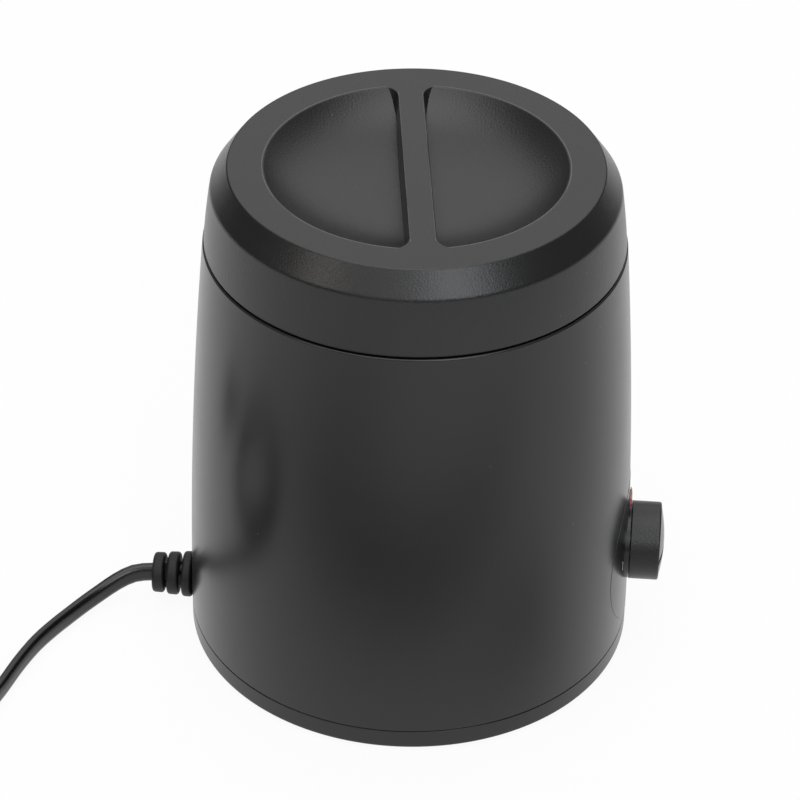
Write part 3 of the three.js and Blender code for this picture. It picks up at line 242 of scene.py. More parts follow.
class Finish:
    """A material or world under construction"""

    def __init__(self, owner):
        owner.use_nodes = True
        self.owner = owner
        self.tree = owner.node_tree
        self.tree.nodes.clear()

    def add(self, kind, inputs=None, output=0, **settings):
        """A node of a kind, with its settings and then its inputs; the output is returned"""
        node = self.tree.nodes.new(kind)
        for name, value in settings.items():
            setattr(node, name, value)
        for name, value in (inputs or {}).items():
            socket = node.inputs[name]
            if isinstance(value, Flow):
                self.tree.links.new(value.socket, socket)
            else:
                socket.default_value = value
        return Flow(self, node.outputs[output])

    def maths(self, operation, *values):
        return self.add("ShaderNodeMath", dict(enumerate(values)), operation=operation)

    def place(self, output="Object"):
        return self.add("ShaderNodeTexCoord", output=output)

    def split(self, where):
        """The X, Y and Z of a place"""
        node = self.add("ShaderNodeSeparateXYZ", {"Vector": where}).socket.node
        return [Flow(self, output) for output in node.outputs]

    def radius(self, across, up):
        return (across * across + up * up) ** 0.5

    def noise(self, scale, detail=2.0, rough=0.5, where=None):
        return self.add("ShaderNodeTexNoise", {
            "Vector": where or self.place(), "Scale": scale, "Detail": detail,
            "Roughness": rough})

    def ramp(self, value, *stops):
        """Greys along a value, from (place, grey) stops"""
        flow = self.add("ShaderNodeValToRGB", {"Fac": value})
        ramp = flow.socket.node.color_ramp.elements
        while len(ramp) > 1:
            ramp.remove(ramp[-1])
        for index, (place, grey) in enumerate(stops):
            stop = ramp[0] if index == 0 else ramp.new(place)
            stop.position = place
            stop.color = (grey, grey, grey, 1.0)
        return flow

    def between(self, amount, first, second):
        """The first colour at 0, the second at 1"""
        return self.add("ShaderNodeMix", {
            0: amount, 6: first if isinstance(first, Flow) else (*first, 1.0),
            7: second if isinstance(second, Flow) else (*second, 1.0)}, 2, data_type="RGBA")

    def bump(self, height, depth):
        return self.add("ShaderNodeBump", {"Height": height, "Distance": depth, "Strength": 1.0})

    def surface(self, shader, kind="ShaderNodeOutputMaterial"):
        """Ends in a shader; the material or world is returned"""
        node = self.tree.nodes.new(kind)
        self.tree.links.new(shader.socket, node.inputs["Surface"])
        return self.owner

    def principled(self, inputs):
        return self.surface(self.add("ShaderNodeBsdfPrincipled", inputs))


def new_finish(name):
    return Finish(bpy.data.materials.new(name))


def scaled(colour, factor):
    return tuple(min(1.0, part * factor) for part in colour[:3])


def specks(finish, share):
    """A mask of a few dust specks"""
    cells = {"Vector": finish.place(), "Scale": 300.0}
    near = finish.add("ShaderNodeTexVoronoi", cells)
    pick = finish.add("ShaderNodeTexVoronoi", cells, "Color")
    chance = finish.add("ShaderNodeSeparateColor", {"Color": pick})
    return (near < SPECK_SIZE) * (chance > 1 - share)


def worn_edge(finish):
    """A mask of a painted highlight, the thin pale line round the lid's recess and along the
    grip bar
    """
    x, y, z = finish.split(finish.add("ShaderNodeVectorRotate", {
        "Vector": finish.place(), "Angle": -LID_TURN}, rotation_type="Z_AXIS"))
    radius = finish.radius(x, y)
    aside = (y * y) ** 0.5
    edge = sizes().bar_width / 2
    ring = (radius > 45.18 * MM) * (radius < 45.4 * MM) * (aside > edge + 3.2 * MM)
    bar = (aside > edge - 0.35 * MM) * (aside < edge - 0.15 * MM) * (radius < 41.5 * MM)
    top = z > (RIM + FIT) * MM + sizes().lid_height - 0.3 * MM
    patch = finish.noise(40.0, 2.0)
    return (ring + bar) * top * finish.ramp(patch, (0.34, 0.3), (0.5, 1.0))


def moulded(finish, colour, rough, grain=3200.0, depth=0.00002, dust=0.0, level=0.5,
            rim_highlight=False):
    """Moulded plastic with a mould grain, a soft mottle, a few specks of dust and, if asked, a
    painted highlight line round the lid's recess
    """
    fine = finish.noise(grain, 3.0, 0.6)
    broad = finish.noise(55.0, 3.0)
    tone = finish.between(broad, scaled(colour, 0.82), scaled(colour, 1.18))
    roughness = rough + (broad - 0.5) * 0.07 + (fine - 0.5) * 0.05
    if dust:
        mask = specks(finish, dust)
        tone = finish.between(mask * 0.5, tone, DUST_COLOUR)
        roughness = roughness + mask * 0.3
    # painted highlight: a pale line round the lid's recess and along the grip bar
    if rim_highlight:
        tone = finish.between(worn_edge(finish), tone, RIM_HIGHLIGHT_COLOUR)
    return finish.principled({
        "Base Color": tone, "Roughness": roughness, "Specular IOR Level": level,
        "Normal": finish.bump(fine, depth)})


def metal(finish, colour, rough, grain=900.0, lined=False):
    """Bare metal, with turned lines round Z where it was spun"""
    where = finish.place()
    if lined:
        x, y, z = finish.split(where)
        where = finish.add("ShaderNodeCombineXYZ", {"X": finish.radius(x, y), "Z": z})
    streak = finish.noise(grain, 2.0, 0.6, where)
    broad = finish.noise(90.0, 2.0)
    tone = finish.between(broad * 0.5 + streak * 0.5, scaled(colour, 0.86), scaled(colour, 1.12))
    return finish.principled({
        "Base Color": tone, "Metallic": 1.0, "Roughness": rough + (streak - 0.5) * 0.16,
        "Normal": finish.bump(streak, 0.00001)})


def woven(finish, colour, dark, scale=2600.0):
    """Glass fibre sleeve or felt: crossing threads over soft mottling"""
    threads = finish.add("ShaderNodeTexWave", {
        "Vector": finish.place(), "Scale": scale, "Distortion": 6.0, "Detail": 2.0},
        bands_direction="DIAGONAL")
    fluff = finish.noise(scale * 0.6, 4.0, 0.7)
    return finish.principled({
        "Base Color": finish.between(threads * 0.4 + fluff * 0.6, dark, colour),
        "Roughness": 0.85 + (fluff - 0.5) * 0.2, "Normal": finish.bump(fluff, 0.00025)})


def lamp_glass(finish, colour):
    """Red lens with fine rings moulded inside it"""
    x, _, z = finish.split(finish.place())
    radius = finish.radius(x, z - LAMP_HEIGHT * MM)
    rings = finish.maths("SINE", radius * (2 * pi / RING_GAP))
    centre = finish.ramp(radius / (LENS_RADIUS * MM), (0.0, 1.0), (0.9, 0.0))
    return finish.principled({
        "Base Color": finish.between(centre * 0.35, colour, (0.55, 0.20, 0.17)),
        "Roughness": 0.14 + rings * 0.03, "Coat Weight": 0.6, "Coat Roughness": 0.05,
        "Normal": finish.bump(rings, 0.00002)})


def cord_sheath(finish, colour):
    """Smooth glossy sheath with faint drawing lines and scuffs"""
    along = finish.add("ShaderNodeUVMap", uv_map="along")
    streak = finish.noise(1.0, 2.0, 0.5, finish.add("ShaderNodeMapping", {
        "Vector": along, "Scale": (8.0, 90.0, 1.0)}))
    scuff = finish.noise(1800.0, 3.0, 0.6)
    return finish.principled({
        "Base Color": finish.between(streak, scaled(colour, 0.8), scaled(colour, 1.4)),
        "Roughness": 0.24 + (streak - 0.5) * 0.1 + (scuff - 0.5) * 0.06,
        "Normal": finish.bump(streak * 0.7 + scuff * 0.3, 0.00002)})


def knob_plastic(finish, colour):
    """The knob's plastic: a spark-eroded grain on its side, a smoother face"""
    x, _, z = finish.split(finish.place())
    side = finish.radius(x, z - DIAL_HEIGHT * MM) > 11.6 * MM
    fine = finish.noise(1600.0, 3.0, 0.6)
    return finish.principled({
        "Base Color": finish.between(fine, scaled(colour, 0.8), scaled(colour, 1.25)),
        "Roughness": 0.24 + side * 0.12 + (fine - 0.5) * 0.1,
        "Normal": finish.bump(fine * (side * 0.8 + 0.2), 0.0001)})


FINISHES = {}


def finish_for(name):
    """Each finish is made once and shared"""
    if name not in FINISHES:
        maker, *values = finish_table()[name]
        FINISHES[name] = maker(new_finish(name), *values)
    return FINISHES[name]


def finish_table():
    """What makes each finish: its maker, then colour, roughness, grain and the like"""
    tint = colours()
    return {
        "satin_black": (moulded, tint.body, 0.25, 3600.0, 0.000006, 0.04),
        # the lid's finish carries the painted highlight line round its recess
        "lid_black": (moulded, tint.lid, 0.30, 1700.0, 0.00008, 0.06, 0.5, True),
        "dial_black": (moulded, tint.body, 0.25, 4200.0, 0.000006),
        "knob_black": (knob_plastic, tint.body),
        "pointer_black": (moulded, (0.003, 0.003, 0.003), 0.6),
        "relief_black": (moulded, tint.soft, 0.52, 2600.0, 0.00002, 0.0, 0.4),
        "strap_black": (woven, (0.02, 0.02, 0.021), (0.006, 0.006, 0.006), 1500.0),
        "cord_black": (cord_sheath, tint.sheath),
        "foot_rubber": (moulded, (0.015, 0.015, 0.016), 0.75, 1800.0, 0.00004),
        "lamp_red": (lamp_glass, tint.lamp),
        "print_white": (moulded, tint.print_white, 0.5, 4000.0, 0.00001),
        "chamber_aluminium": (metal, (0.62, 0.63, 0.64), 0.32, 1500.0, True),
        "screw_steel": (metal, (0.50, 0.50, 0.51), 0.34),
        "brass": (metal, (0.62, 0.43, 0.16), 0.3),
        "pin_metal": (metal, (0.70, 0.70, 0.69), 0.22, 1500.0),
        "mica": (moulded, (0.36, 0.30, 0.19), 0.55, 700.0, 0.00006),
        "felt": (woven, (0.70, 0.68, 0.62), (0.45, 0.43, 0.38), 1400.0),
        "nylon": (moulded, (0.76, 0.74, 0.68), 0.45, 1500.0),
        "wire_brown": (moulded, (0.10, 0.035, 0.015), 0.4, 2500.0, 0.00001),
        "wire_blue": (moulded, (0.02, 0.08, 0.26), 0.4, 2500.0, 0.00001),
        "sleeve_white": (woven, (0.82, 0.81, 0.76), (0.5, 0.49, 0.45)),
    }


# Modelling

def clear_selection():
    if bpy.context.object is not None and bpy.context.object.mode != "OBJECT":
        leave()
    bpy.ops.object.select_all(action="DESELECT")


def only(piece):
    """The piece alone is selected and active"""
    clear_selection()
    piece.select_set(True)
    bpy.context.view_layer.objects.active = piece


def edit(piece):
    """Opens the piece's mesh with all of it selected"""
    only(piece)
    bpy.ops.object.mode_set(mode="EDIT")
    select_mesh()


def select_mesh():
    bpy.ops.mesh.select_all(action="SELECT")


def leave():
    bpy.ops.object.mode_set(mode="OBJECT")


def choose_edges(test):
    """Selects the edges that pass a test in the mesh being edited"""
    bpy.ops.mesh.select_mode(type="EDGE")
    bpy.ops.mesh.select_all(action="DESELECT")
    mesh = bmesh.from_edit_mesh(bpy.context.object.data)
    for edge in mesh.edges:
        if test(edge):
            edge.select_set(True)
    mesh.select_flush_mode()
    bmesh.update_edit_mesh(bpy.context.object.data)


def bevel(width, segments):
    bpy.ops.mesh.bevel(offset=width * MM, segments=segments, affect="EDGES")


def weld():
    select_mesh()
    bpy.ops.mesh.remove_doubles(threshold=WELD)


def close_up():
    """Joins what lies on itself, turns the faces outwards and leaves the mesh"""
    weld()
    bpy.ops.mesh.normals_make_consistent(inside=False)
    leave()


def modified(piece, kind, **settings):
    """Adds a modifier to the piece and applies it"""
    only(piece)
    change = piece.modifiers.new("change", kind)
    for name, value in settings.items():
        setattr(change, name, value)
    bpy.ops.object.modifier_apply(modifier=change.name)
    return piece


def linked(name, data):
    """A new object in the scene"""
    piece = bpy.data.objects.new(name, data)
    bpy.context.scene.collection.objects.link(piece)
    return piece


def drawn(points):
    """A line through points, extruded from one vertex"""
    clear_selection()
    bpy.ops.mesh.primitive_plane_add(size=MM)
    edit(bpy.context.object)
    bpy.ops.mesh.select_mode(type="VERT")
    select_mesh()
    bpy.ops.mesh.merge(type="CENTER")
    here = Vector((0.0, 0.0, 0.0))
    for index, point in enumerate(points):
        there = Vector(point) * MM
        if index == 0:
            bpy.ops.transform.translate(value=there - here)
        else:
            bpy.ops.mesh.extrude_region_move(TRANSFORM_OT_translate={"value": there - here})
        here = there
    return bpy.context.object


def softened(corners, steps=5, closed=False):
    """An outline whose corners that name a radius become arcs, held by a point on each side"""
    outline = []
    count = len(corners)
    for index, corner in enumerate(corners):
        here = Vector(corner[:2])
        radius = corner[2] if len(corner) > 2 else 0.0
        end = index in (0, count - 1) and not closed
        if not radius or end:
            outline.append(tuple(here))
            continue
        before = (Vector(corners[index - 1][:2]) - here).normalized()
        after = (Vector(corners[(index + 1) % count][:2]) - here).normalized()
        half = before.angle(after) / 2
        reach = radius / tan(half)
        centre = here + (before + after).normalized() * (radius / sin(half))
        first = here + before * reach - centre
        last = here + after * reach - centre
        turn = atan2(first.x * last.y - first.y * last.x, first.dot(last))
        outline.append(tuple(here + before * reach * HOLD))
        for step in range(steps + 1):
            angle = turn * step / steps
            c, s = cos(angle), sin(angle)
            outline.append((centre.x + first.x * c - first.y * s,
                            centre.y + first.x * s + first.y * c))
        outline.append(tuple(here + after * reach * HOLD))
    return outline


def turned(outline, steps=None, about="Z", height=0.0):
    """A piece spun from its outline of (radius, place) points, about Z or about Y"""
    if about == "Z":
        points = [(r, 0.0, z) for r, z in outline]
        centre, axis = (0.0, 0.0, 0.0), (0.0, 0.0, 1.0)
    else:
        points = [(r, y, height) for r, y in outline]
        centre, axis = (0.0, 0.0, height * MM), (0.0, 1.0, 0.0)
    piece = drawn(points)
    select_mesh()
    bpy.ops.mesh.spin(steps=steps or sizes().round_steps, angle=2 * pi, center=centre,
                      axis=axis)
    close_up()
    return piece


def lofted(rings):
    """A solid through closed outlines of as many points, one above the other"""
    lines = []
    for ring in rings:
        lines.append(drawn(ring + ring[:1]))
        close_up()
    piece = together(*lines)
    edit(piece)
    bpy.ops.mesh.select_mode(type="EDGE")
    select_mesh()
    bpy.ops.mesh.bridge_edge_loops()
    for height in (rings[0][0][2], rings[-1][0][2]):
        choose_edges(lambda edge: all(abs(v.co.z - height * MM) < 1e-7 for v in edge.verts))
        bpy.ops.mesh.edge_face_add()
    close_up()
    return piece


def rod(radius, low, high, x=0.0, y=0.0, steps=48, round_off=0.0):
    """An upright rod whose ends are bevelled"""
    corners = [(0.0, low), (radius, low, round_off), (radius, high, round_off), (0.0, high)]
    return moved(turned(softened(corners, 3), steps), x, y)


def rod_along_y(radius, near, far, z=0.0, steps=48):
    outline = [(0.0, near), (radius, near), (radius, far), (0.0, far)]
    return moved(turned(outline, steps, about="Y"), z=z)


def moved(piece, x=0.0, y=0.0, z=0.0):
    """Moves the mesh and leaves the object at the origin"""
    edit(piece)
    bpy.ops.transform.translate(value=(x * MM, y * MM, z * MM))
    leave()
    return piece


def settled(piece):
    """Leaves the object at the origin, unturned and unscaled, with its mesh where it was"""
    bpy.ops.object.transform_apply(location=True, rotation=True, scale=True)
    return piece


def rotated(piece, angle, axis="Z", centre=(0.0, 0.0, 0.0)):
    """Turns the mesh about an axis through a point"""
    only(piece)
    middle = Vector(centre) * MM
    turn = Matrix.Translation(middle) @ Matrix.Rotation(angle, 4, axis)
    piece.matrix_world = turn @ Matrix.Translation(-middle) @ piece.matrix_world
    return settled(piece)


def resized(piece, value, centre=(0.0, 0.0, 0.0)):
    """Stretches the mesh about a point and leaves it open"""
    edit(piece)
    bpy.ops.transform.resize(value=value, center_override=Vector(centre) * MM)


def block(width, depth, height, at, round_off=0.0):
    """A block with its edges bevelled"""
    clear_selection()
    bpy.ops.mesh.primitive_cube_add(size=MM, location=Vector(at) * MM,
                                    scale=(width, depth, height))
    piece = settled(bpy.context.object)
    if round_off:
        edit(piece)
        bevel(round_off, 3)
        leave()
    return piece


def copied(piece):
    only(piece)
    bpy.ops.object.duplicate()
    return bpy.context.object


def together(first, *others):
    """Several meshes as one object"""
    only(first)
    for other in others:
        other.select_set(True)
    bpy.ops.object.join()
    return first


def shaped(piece, *tools, how="DIFFERENCE"):
    """Cuts or joins the piece with each tool in turn, which is used up"""
    for tool in tools:
        modified(piece, "BOOLEAN", operation=how, solver="EXACT", object=tool)
        bpy.data.objects.remove(tool, do_unlink=True)
        if not piece.data.polygons:
            raise RuntimeError(f"{piece.name} has no faces left")
    return piece


def bevelled(piece, width, segments, angle):
    return modified(piece, "BEVEL", width=width * MM, segments=segments,
                    limit_method="ANGLE", angle_limit=radians(angle))


def placed(piece, name, finish, *nodes, body="heater", slot=None, angle=35.0):
    """Names, smooths and finishes a piece, and hangs it on its body

    Its slot is its finish's name; the slot argument is not used.
    """
    only(piece)
    piece.name = name
    piece.data.name = name
    bpy.ops.object.shade_smooth_by_angle(angle=radians(angle))
    piece.data.materials.clear()
    piece.data.materials.append(finish_for(finish))
    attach(piece, body)
    if nodes:
        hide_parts(*nodes)
    return piece


def evened(piece):
    """Lets the large faces set the smooth shading where they meet small ones"""
    return modified(piece, "WEIGHTED_NORMAL", keep_sharp=True)


# Barrel and base

def barrel_side(low, high, offset, steps):
    return [(barrel_radius(z) + offset, z) for z in spread(low, high, steps)]


def side_disc(inner, outer, radius):
    """A round patch of the barrel's side, between two offsets from it"""
    low, high = DIAL_HEIGHT - radius - 2, DIAL_HEIGHT + radius + 2
    outside = barrel_side(low, high, outer, 24)
    inside = barrel_side(low, high, inner, 24)
    band = turned(outside + inside[::-1] + outside[:1], 288)
    return shaped(band, rod_along_y(radius, -80.0, -40.0, DIAL_HEIGHT, 96), how="INTERSECT")


def model_housing():
    low = SEAM + FIT
    under = LEDGE - WALL
    inner = barrel_side(low, under, -WALL, 12)
    corners = [
        (barrel_radius(low) - WALL, low),
        (barrel_radius(low), low, 0.15),
        *barrel_side(low + 1.2, RIM - 1.6, 0.0, 34),
        (barrel_radius(RIM), RIM, 0.55),
        (barrel_radius(RIM) - WALL, RIM, 0.3),
        (barrel_radius(LEDGE) - WALL, LEDGE),
        (LEDGE_RADIUS, LEDGE, 0.3),
        (LEDGE_RADIUS, under, 0.3),
        *inner[::-1],
    ]
    shell = shaped(
        turned(softened(corners, 5)),
        side_disc(DIAL_PROUD - DIAL_PLATE - FIT, 3.0, DIAL_RADIUS + FIT),
        rod_along_y(SHAFT_HOLE, *FRONT, DIAL_HEIGHT), rod_along_y(2.8, *FRONT, LAMP_HEIGHT),
        rod_along_y(CORD_HOLE, *BACK, CORD_EXIT))
    pillars = []
    for angle, x, y in around(PILLAR_RING, 45):
        pillars.append(rod(5.0, 12.6, 38.6, x, y, 32, 0.4))
        pillars.append(rotated(block(9.0, 2.0, 26.0, (62.5, 0.0, 25.6), 0.3), angle))
    placed(together(shell, *pillars), "barrel", "satin_black", "housing")


def model_base():
    top = barrel_radius(SEAM)
    spigot = top - WALL - FIT
    collar = SEAM + 4.5
    plate = STAND_OFF + 2.5
    corners = [
        (0.0, STAND_OFF),
        (sizes().base_radius / MM, STAND_OFF, 0.8),
        *barrel_side(STAND_OFF + 1.4, SEAM - 0.9, 0.0, 4),
        (top, SEAM, 0.18),
        (spigot, SEAM),
        (spigot, collar, 0.3),
        (spigot - 1.8, collar, 0.3),
        (spigot - 1.8, plate, 0.8),
        (0.0, plate),
    ]
    cover = turned(softened(corners, 4))
    tools = [rod_along_y(CORD_HOLE, *BACK, CORD_EXIT), block(13.6, 5.4, 7.8, (0.0, 63.6, 7.9))]
    for foot, screw in zip(around(FOOT_RING, 0), around(PILLAR_RING, 45)):
        tools += [rod(7.3, 0.0, 2.7, *foot[1:]), rod(3.3, 0.0, 3.2, *screw[1:], 32)]
    for row in range(1, 6):
        vent = block(34.0, 2.4, 6.0, (0.0, -6.0 * row, 2.75))
        edit(vent)
        choose_edges(lambda edge: abs(edge.verts[0].co.z - edge.verts[1].co.z) > MM)
        bevel(1.15, 5)
        leave()
        tools.append(vent)
    cover = shaped(cover, *tools)
    posts = [rod(3.2, 2.75, 11.65, side * 9.0, 58.0, 32, 0.3) for side in (-1, 1)]
    posts.append(rod(3.2, 2.75, 8.0, 0.0, 31.0, 32, 0.3))
    posts += [rod(5.0, 3.6, 12.3, x, y, 32, 0.3) for _, x, y in around(PILLAR_RING, 45)]
    placed(together(cover, *posts), "base_ring", "satin_black", "base_cover")


def model_feet():
    corners = [(0.0, 0.4), (4.6, 0.4, 0.3), (5.0, 0.0, 0.3), (7.0, 0.0, 0.6), (7.0, 2.4, 0.2),
               (0.0, 2.4)]
    foot = moved(turned(softened(corners, 4), 64), FOOT_RING)
    for number in range(1, 5):
        if number > 1:
            foot = rotated(copied(foot), radians(90))
        placed(foot, f"rubber_foot_{number}", "foot_rubber", f"foot_{number}")


# Lid

def dish(radius, depth, height):
    return height - depth * (1 - (radius / RECESS_RADIUS) ** 4)


def model_lid():
    height = sizes().lid_height / MM
    depth = sizes().recess_depth / MM
    rim = barrel_radius(RIM) - 0.3
    chamfer = height - 7.3
    skirt = barrel_radius(RIM) - WALL - 0.4
    side = [(rim + (SHOULDER - rim) * t + 0.6 * t * (1 - t), chamfer * t)
            for t in spread(0.08, 0.93, 8)]
    under = [(r, dish(r, depth, height) - WALL) for r in spread(0.0, 40.0, 12)]
    corners = [
        *under,
        (46.15, height - WALL),
        (54.25, height - WALL),
        (skirt - 1.8, chamfer),
        (skirt - 1.8, -5.0, 0.3),
        (skirt, -5.0, 0.3),
        (skirt, 0.0),
        (rim, 0.0, 0.8),
        *side,
        (SHOULDER, chamfer, 3.0),
        (55.5, height, 0.9),
        (0.0, height),
    ]
    lid = shaped(turned(softened(corners, 6)), recess_half(height, depth),
                 rotated(recess_half(height, depth), pi))
    lid = rotated(moved(lid, z=RIM + FIT), LID_TURN)
    evened(placed(lid, "lift_off_lid", "lid_black", "lid", body="lid", angle=28.0))


def recess_outline(height, offset, corner_radius):
    """One side of the recess: straight along the grip bar, round along the rim"""
    edge = sizes().bar_width / MM / 2
    corner = Vector((RECESS_RADIUS - corner_radius, edge + corner_radius))
    turn = atan2(corner.y, corner.x)
    bend = corner_radius + offset
    reach = corner.length + bend
    line = [(x, edge - offset) for x in spread(-corner.x, corner.x, 14)[1:-1]]
    right = [(corner.x + bend * cos(a), corner.y + bend * sin(a))
             for a in spread(-pi / 2, turn, 10)]
    arc = [(reach * cos(a), reach * sin(a)) for a in spread(turn, pi - turn, 64)[1:-1]]
    left = [(-x, y) for x, y in right[::-1]]
    return [(x, y, height) for x, y in line + right + arc + left]


def recess_half(height, depth):
    """The room on one side of the grip bar, with its rounded upper edge"""
    edge, corner = 0.45, 6.0
    steps = [(height - depth - 1.25, -0.9, 15.0), (height - 4.0, -0.4, 10.0),
             (height - 1.3, -0.12, 7.0)]
    steps += [(height - edge * (1 - sin(a)), edge * (1 - cos(a)), corner)
              for a in spread(0.0, radians(80), 5)]
    steps += [(height + 0.2, 1.55, corner), (height + 2.0, 1.55, corner)]
    room = lofted([recess_outline(*step) for step in steps])
    bowl = [(r, dish(r, depth, height)) for r in spread(0.0, RECESS_RADIUS, 34)[:-1]]
    corners = [*bowl, (RECESS_RADIUS, height, 1.2), (48.0, height + 0.3), (48.0, height + 3.0)]
    lens = turned(softened(corners, 5) + [(0.0, height + 3.0), bowl[0]])
    return shaped(room, lens, how="INTERSECT")


# Heating chamber, pot and bail

def model_chamber():
    corners = [
        (0.0, 52.0), (51.5, 52.0, 4.0), (51.5, 130.3, 0.4), (60.1, 130.3, 0.3),
        (60.1, 131.8, 0.3), (50.0, 131.8, 0.8), (50.0, 53.5, 4.0), (0.0, 53.5),
    ]
    holes = [rod(1.8, 128.0, 134.0, x, y, 24) for _, x, y in around(56.5, 30, 3)]
    cup = shaped(turned(softened(corners, 6), 160), *holes)
    studs = [rod(1.5, 47.4, 52.7, 0.0, y, 24, 0.3) for y in (-7.4, 7.4)]
    placed(together(cup, *studs), "spun_chamber", "chamber_aluminium", "heating_chamber")


def model_pot():
    corners = [
        (0.0, 54.3), (49.0, 54.3, 6.0), (49.0, 132.1, 0.3), (53.0, 132.1, 0.5),
        (53.0, 133.6, 0.5), (48.0, 133.6, 0.6), (48.0, 55.3, 5.0), (0.0, 55.3),
    ]
    pot = turned(softened(corners, 6), 160)
    ears = []
    for x in (-51.3, 51.3):
        plate = block(1.5, 9.0, 4.6, (x, 0.0, 135.2), 0.2)
        top = turned(softened([(0.0, -0.75), (4.5, -0.75, 0.2), (4.5, 0.75, 0.2),
                               (0.0, 0.75)], 3), 48, about="Y")
        ear = shaped(plate, moved(rotated(top, pi / 2), x, 0.0, BAIL_HEIGHT), how="UNION")
        hole = rotated(rod_along_y(2.2, -4.0, 4.0, steps=32), pi / 2)
        ears.append(shaped(ear, moved(hole, x, 0.0, BAIL_HEIGHT)))
    placed(together(pot, *ears), "lift_out_pot", "chamber_aluminium", "wax_pot", body="pot")


def model_bail():
    """Round wire through the pot's ears, lying flat round the rim"""
    right = [(54.05, 0.0), (49.5, 0.0), (47.5, 1.5)]
    bow = [(46 * cos(a), 46 * sin(a)) for a in spread(0.12 * pi, 0.88 * pi, 16)]
    left = [(-x, y) for x, y in right[::-1]]
    path = smooth_path([(x, y, BAIL_HEIGHT) for x, y in right + bow + left], 6)
    wire = tube("wire_bail", path, [(1.5 * cos(a), 1.5 * sin(a))
                                    for a in spread(0.0, 2 * pi, 16)[:-1]])
    placed(wire, "wire_bail", "screw_steel", "pot_bail", body="bail", angle=50.0)


# Dial, knob and lamp

def model_dial():
    edge_radius = DIAL_RADIUS + FIT - 0.03
    seat_face = barrel_radius(DIAL_HEIGHT) + DIAL_PROUD + FIT - 0.12
    plate = shaped(side_disc(DIAL_PROUD - DIAL_PLATE, DIAL_FACE, edge_radius),
                   rod_along_y(SHAFT_HOLE, *FRONT, DIAL_HEIGHT),
                   rod_along_y(3.5, *FRONT, LAMP_HEIGHT))
    edit(plate)
    weld()

    def outer_rim(edge):
        far = all(abs(hypot(v.co.x, v.co.z - DIAL_HEIGHT * MM) - edge_radius * MM)
                  < 0.1 * MM for v in edge.verts)
        front = all(v.co.xy.length > (barrel_radius(v.co.z / MM) + 0.04) * MM
                    for v in edge.verts)
        return far and front and len(edge.link_faces) == 2 and edge.calc_face_angle() > 0.5

    choose_edges(outer_rim)
    bevel(0.06, 2)
    leave()
    seat = turned(softened([(SHAFT_HOLE, -66.0), (12.1, -66.0), (12.1, -seat_face, 0.1),
                            (SHAFT_HOLE, -seat_face), (SHAFT_HOLE, -66.0)], 2), 96,
                  about="Y", height=DIAL_HEIGHT)
    plate = together(plate, seat)
    evened(placed(plate, "curved_dial", "dial_black", "dial_plate"))
    marks = [dial_number(str(number), 75.0 + 45.0 * number) for number in range(1, 5)]
    marks += [dial_mark(120.0 + 15.0 * step, 1.2) for step in range(10)]
    scale = together(dial_mark(0.0, 3.2), *marks)
    wrap_on_plate(scale, plate)
    placed(scale, "printed_scale", "print_white", slot="dial_black")


def dial_place(angle, radius):
    """The scale runs clockwise from the left, as the knob turns"""
    turn = radians(angle)
    return Vector((-radius * cos(turn), PRINT_PLANE, DIAL_HEIGHT + radius * sin(turn)))


def dial_number(text, angle):
    clear_selection()
    bpy.ops.object.text_add(location=dial_place(angle, 19.2) * MM,
                            rotation=(pi / 2, 0.0, 0.0))
    sign = bpy.context.object
    sign.data.body = text
    sign.data.size = 4.4 * MM
    sign.data.align_x = "CENTER"
    sign.data.align_y = "CENTER"
    bpy.ops.object.convert(target="MESH")
    return settled(bpy.context.object)


def dial_mark(angle, long):
    """A dash that follows the knob's edge"""
    clear_selection()
    place = dial_place(angle, 13.9)
    bpy.ops.mesh.primitive_plane_add(size=MM, location=place * MM,
                                     rotation=(pi / 2, 0.0, 0.0))
    mark = settled(bpy.context.object)
    resized(mark, (0.4, 1.0, long), place)
    bpy.ops.mesh.subdivide(number_cuts=3)
    leave()
    return rotated(mark, radians(angle), "Y", place)


def wrap_on_plate(scale, plate):
    """Lays the flat print on the curved plate and gives it its thickness"""
    modified(scale, "SHRINKWRAP", target=plate, wrap_method="PROJECT", use_project_y=True,
             use_positive_direction=True, use_negative_direction=False, offset=0.03 * MM)
    modified(scale, "SOLIDIFY", thickness=0.04 * MM, offset=0.0)


def model_knob():
    radius = sizes().knob_radius / MM
    back = barrel_radius(DIAL_HEIGHT) + DIAL_PROUD + FIT
    long, top = KNOB_LONG, KNOB_LONG + 1.4
    crown = radius - 0.9
    dome = [(crown * s, long + 1.4 * (1 - s * s)) for s in spread(0.92, 0.08, 10)]
    corners = [
        (0.0, long - 0.7), (3.3, long - 0.7), (3.3, 4.7), (radius - 2.0, 4.7),
        (radius - 2.0, 0.0, 0.3), (radius, 0.0, 0.3), (radius, long, 0.7), *dome, (0.0, top),
    ]
    outline = [(r, -(back + h)) for r, h in softened(corners, 5)]
    knob = turned(outline, 128, about="Y", height=DIAL_HEIGHT)
    groove = block(radius * 2, 3.2, 1.8, (4.5 - radius, -(back + top), DIAL_HEIGHT), 0.25)
    placed(shaped(knob, groove), "thermostat_knob", "knob_black", "knob", body="knob",
           slot="satin_black")
    bed = back + top - 1.6 - FIT
    inlay = block(15.4, 0.5, 1.2, (4.2 - 7.7, -(bed + 0.25), DIAL_HEIGHT), 0.12)
    placed(inlay, "pointer_inlay", "pointer_black", "knob_pointer", body="knob")


def model_lamp():
    face = barrel_radius(LAMP_HEIGHT) + DIAL_PROUD
    dome = [(LENS_RADIUS * s, face + LENS_PROUD * sqrt(1 - s * s))
            for s in spread(0.97, 0.06, 10)]
    corners = [
        (0.0, face - 8.0), (2.5, face - 8.0, 0.2), (2.5, face - 0.15),
        (LENS_RADIUS, face - 0.15), (LENS_RADIUS, face), *dome, (0.0, face + LENS_PROUD),
    ]
    outline = [(r, -y) for r, y in softened(corners, 3)]
    lens = turned(outline, 64, about="Y", height=LAMP_HEIGHT)
    placed(lens, "pilot_lens", "lamp_red", "indicator_lens")


# Strain relief and cord

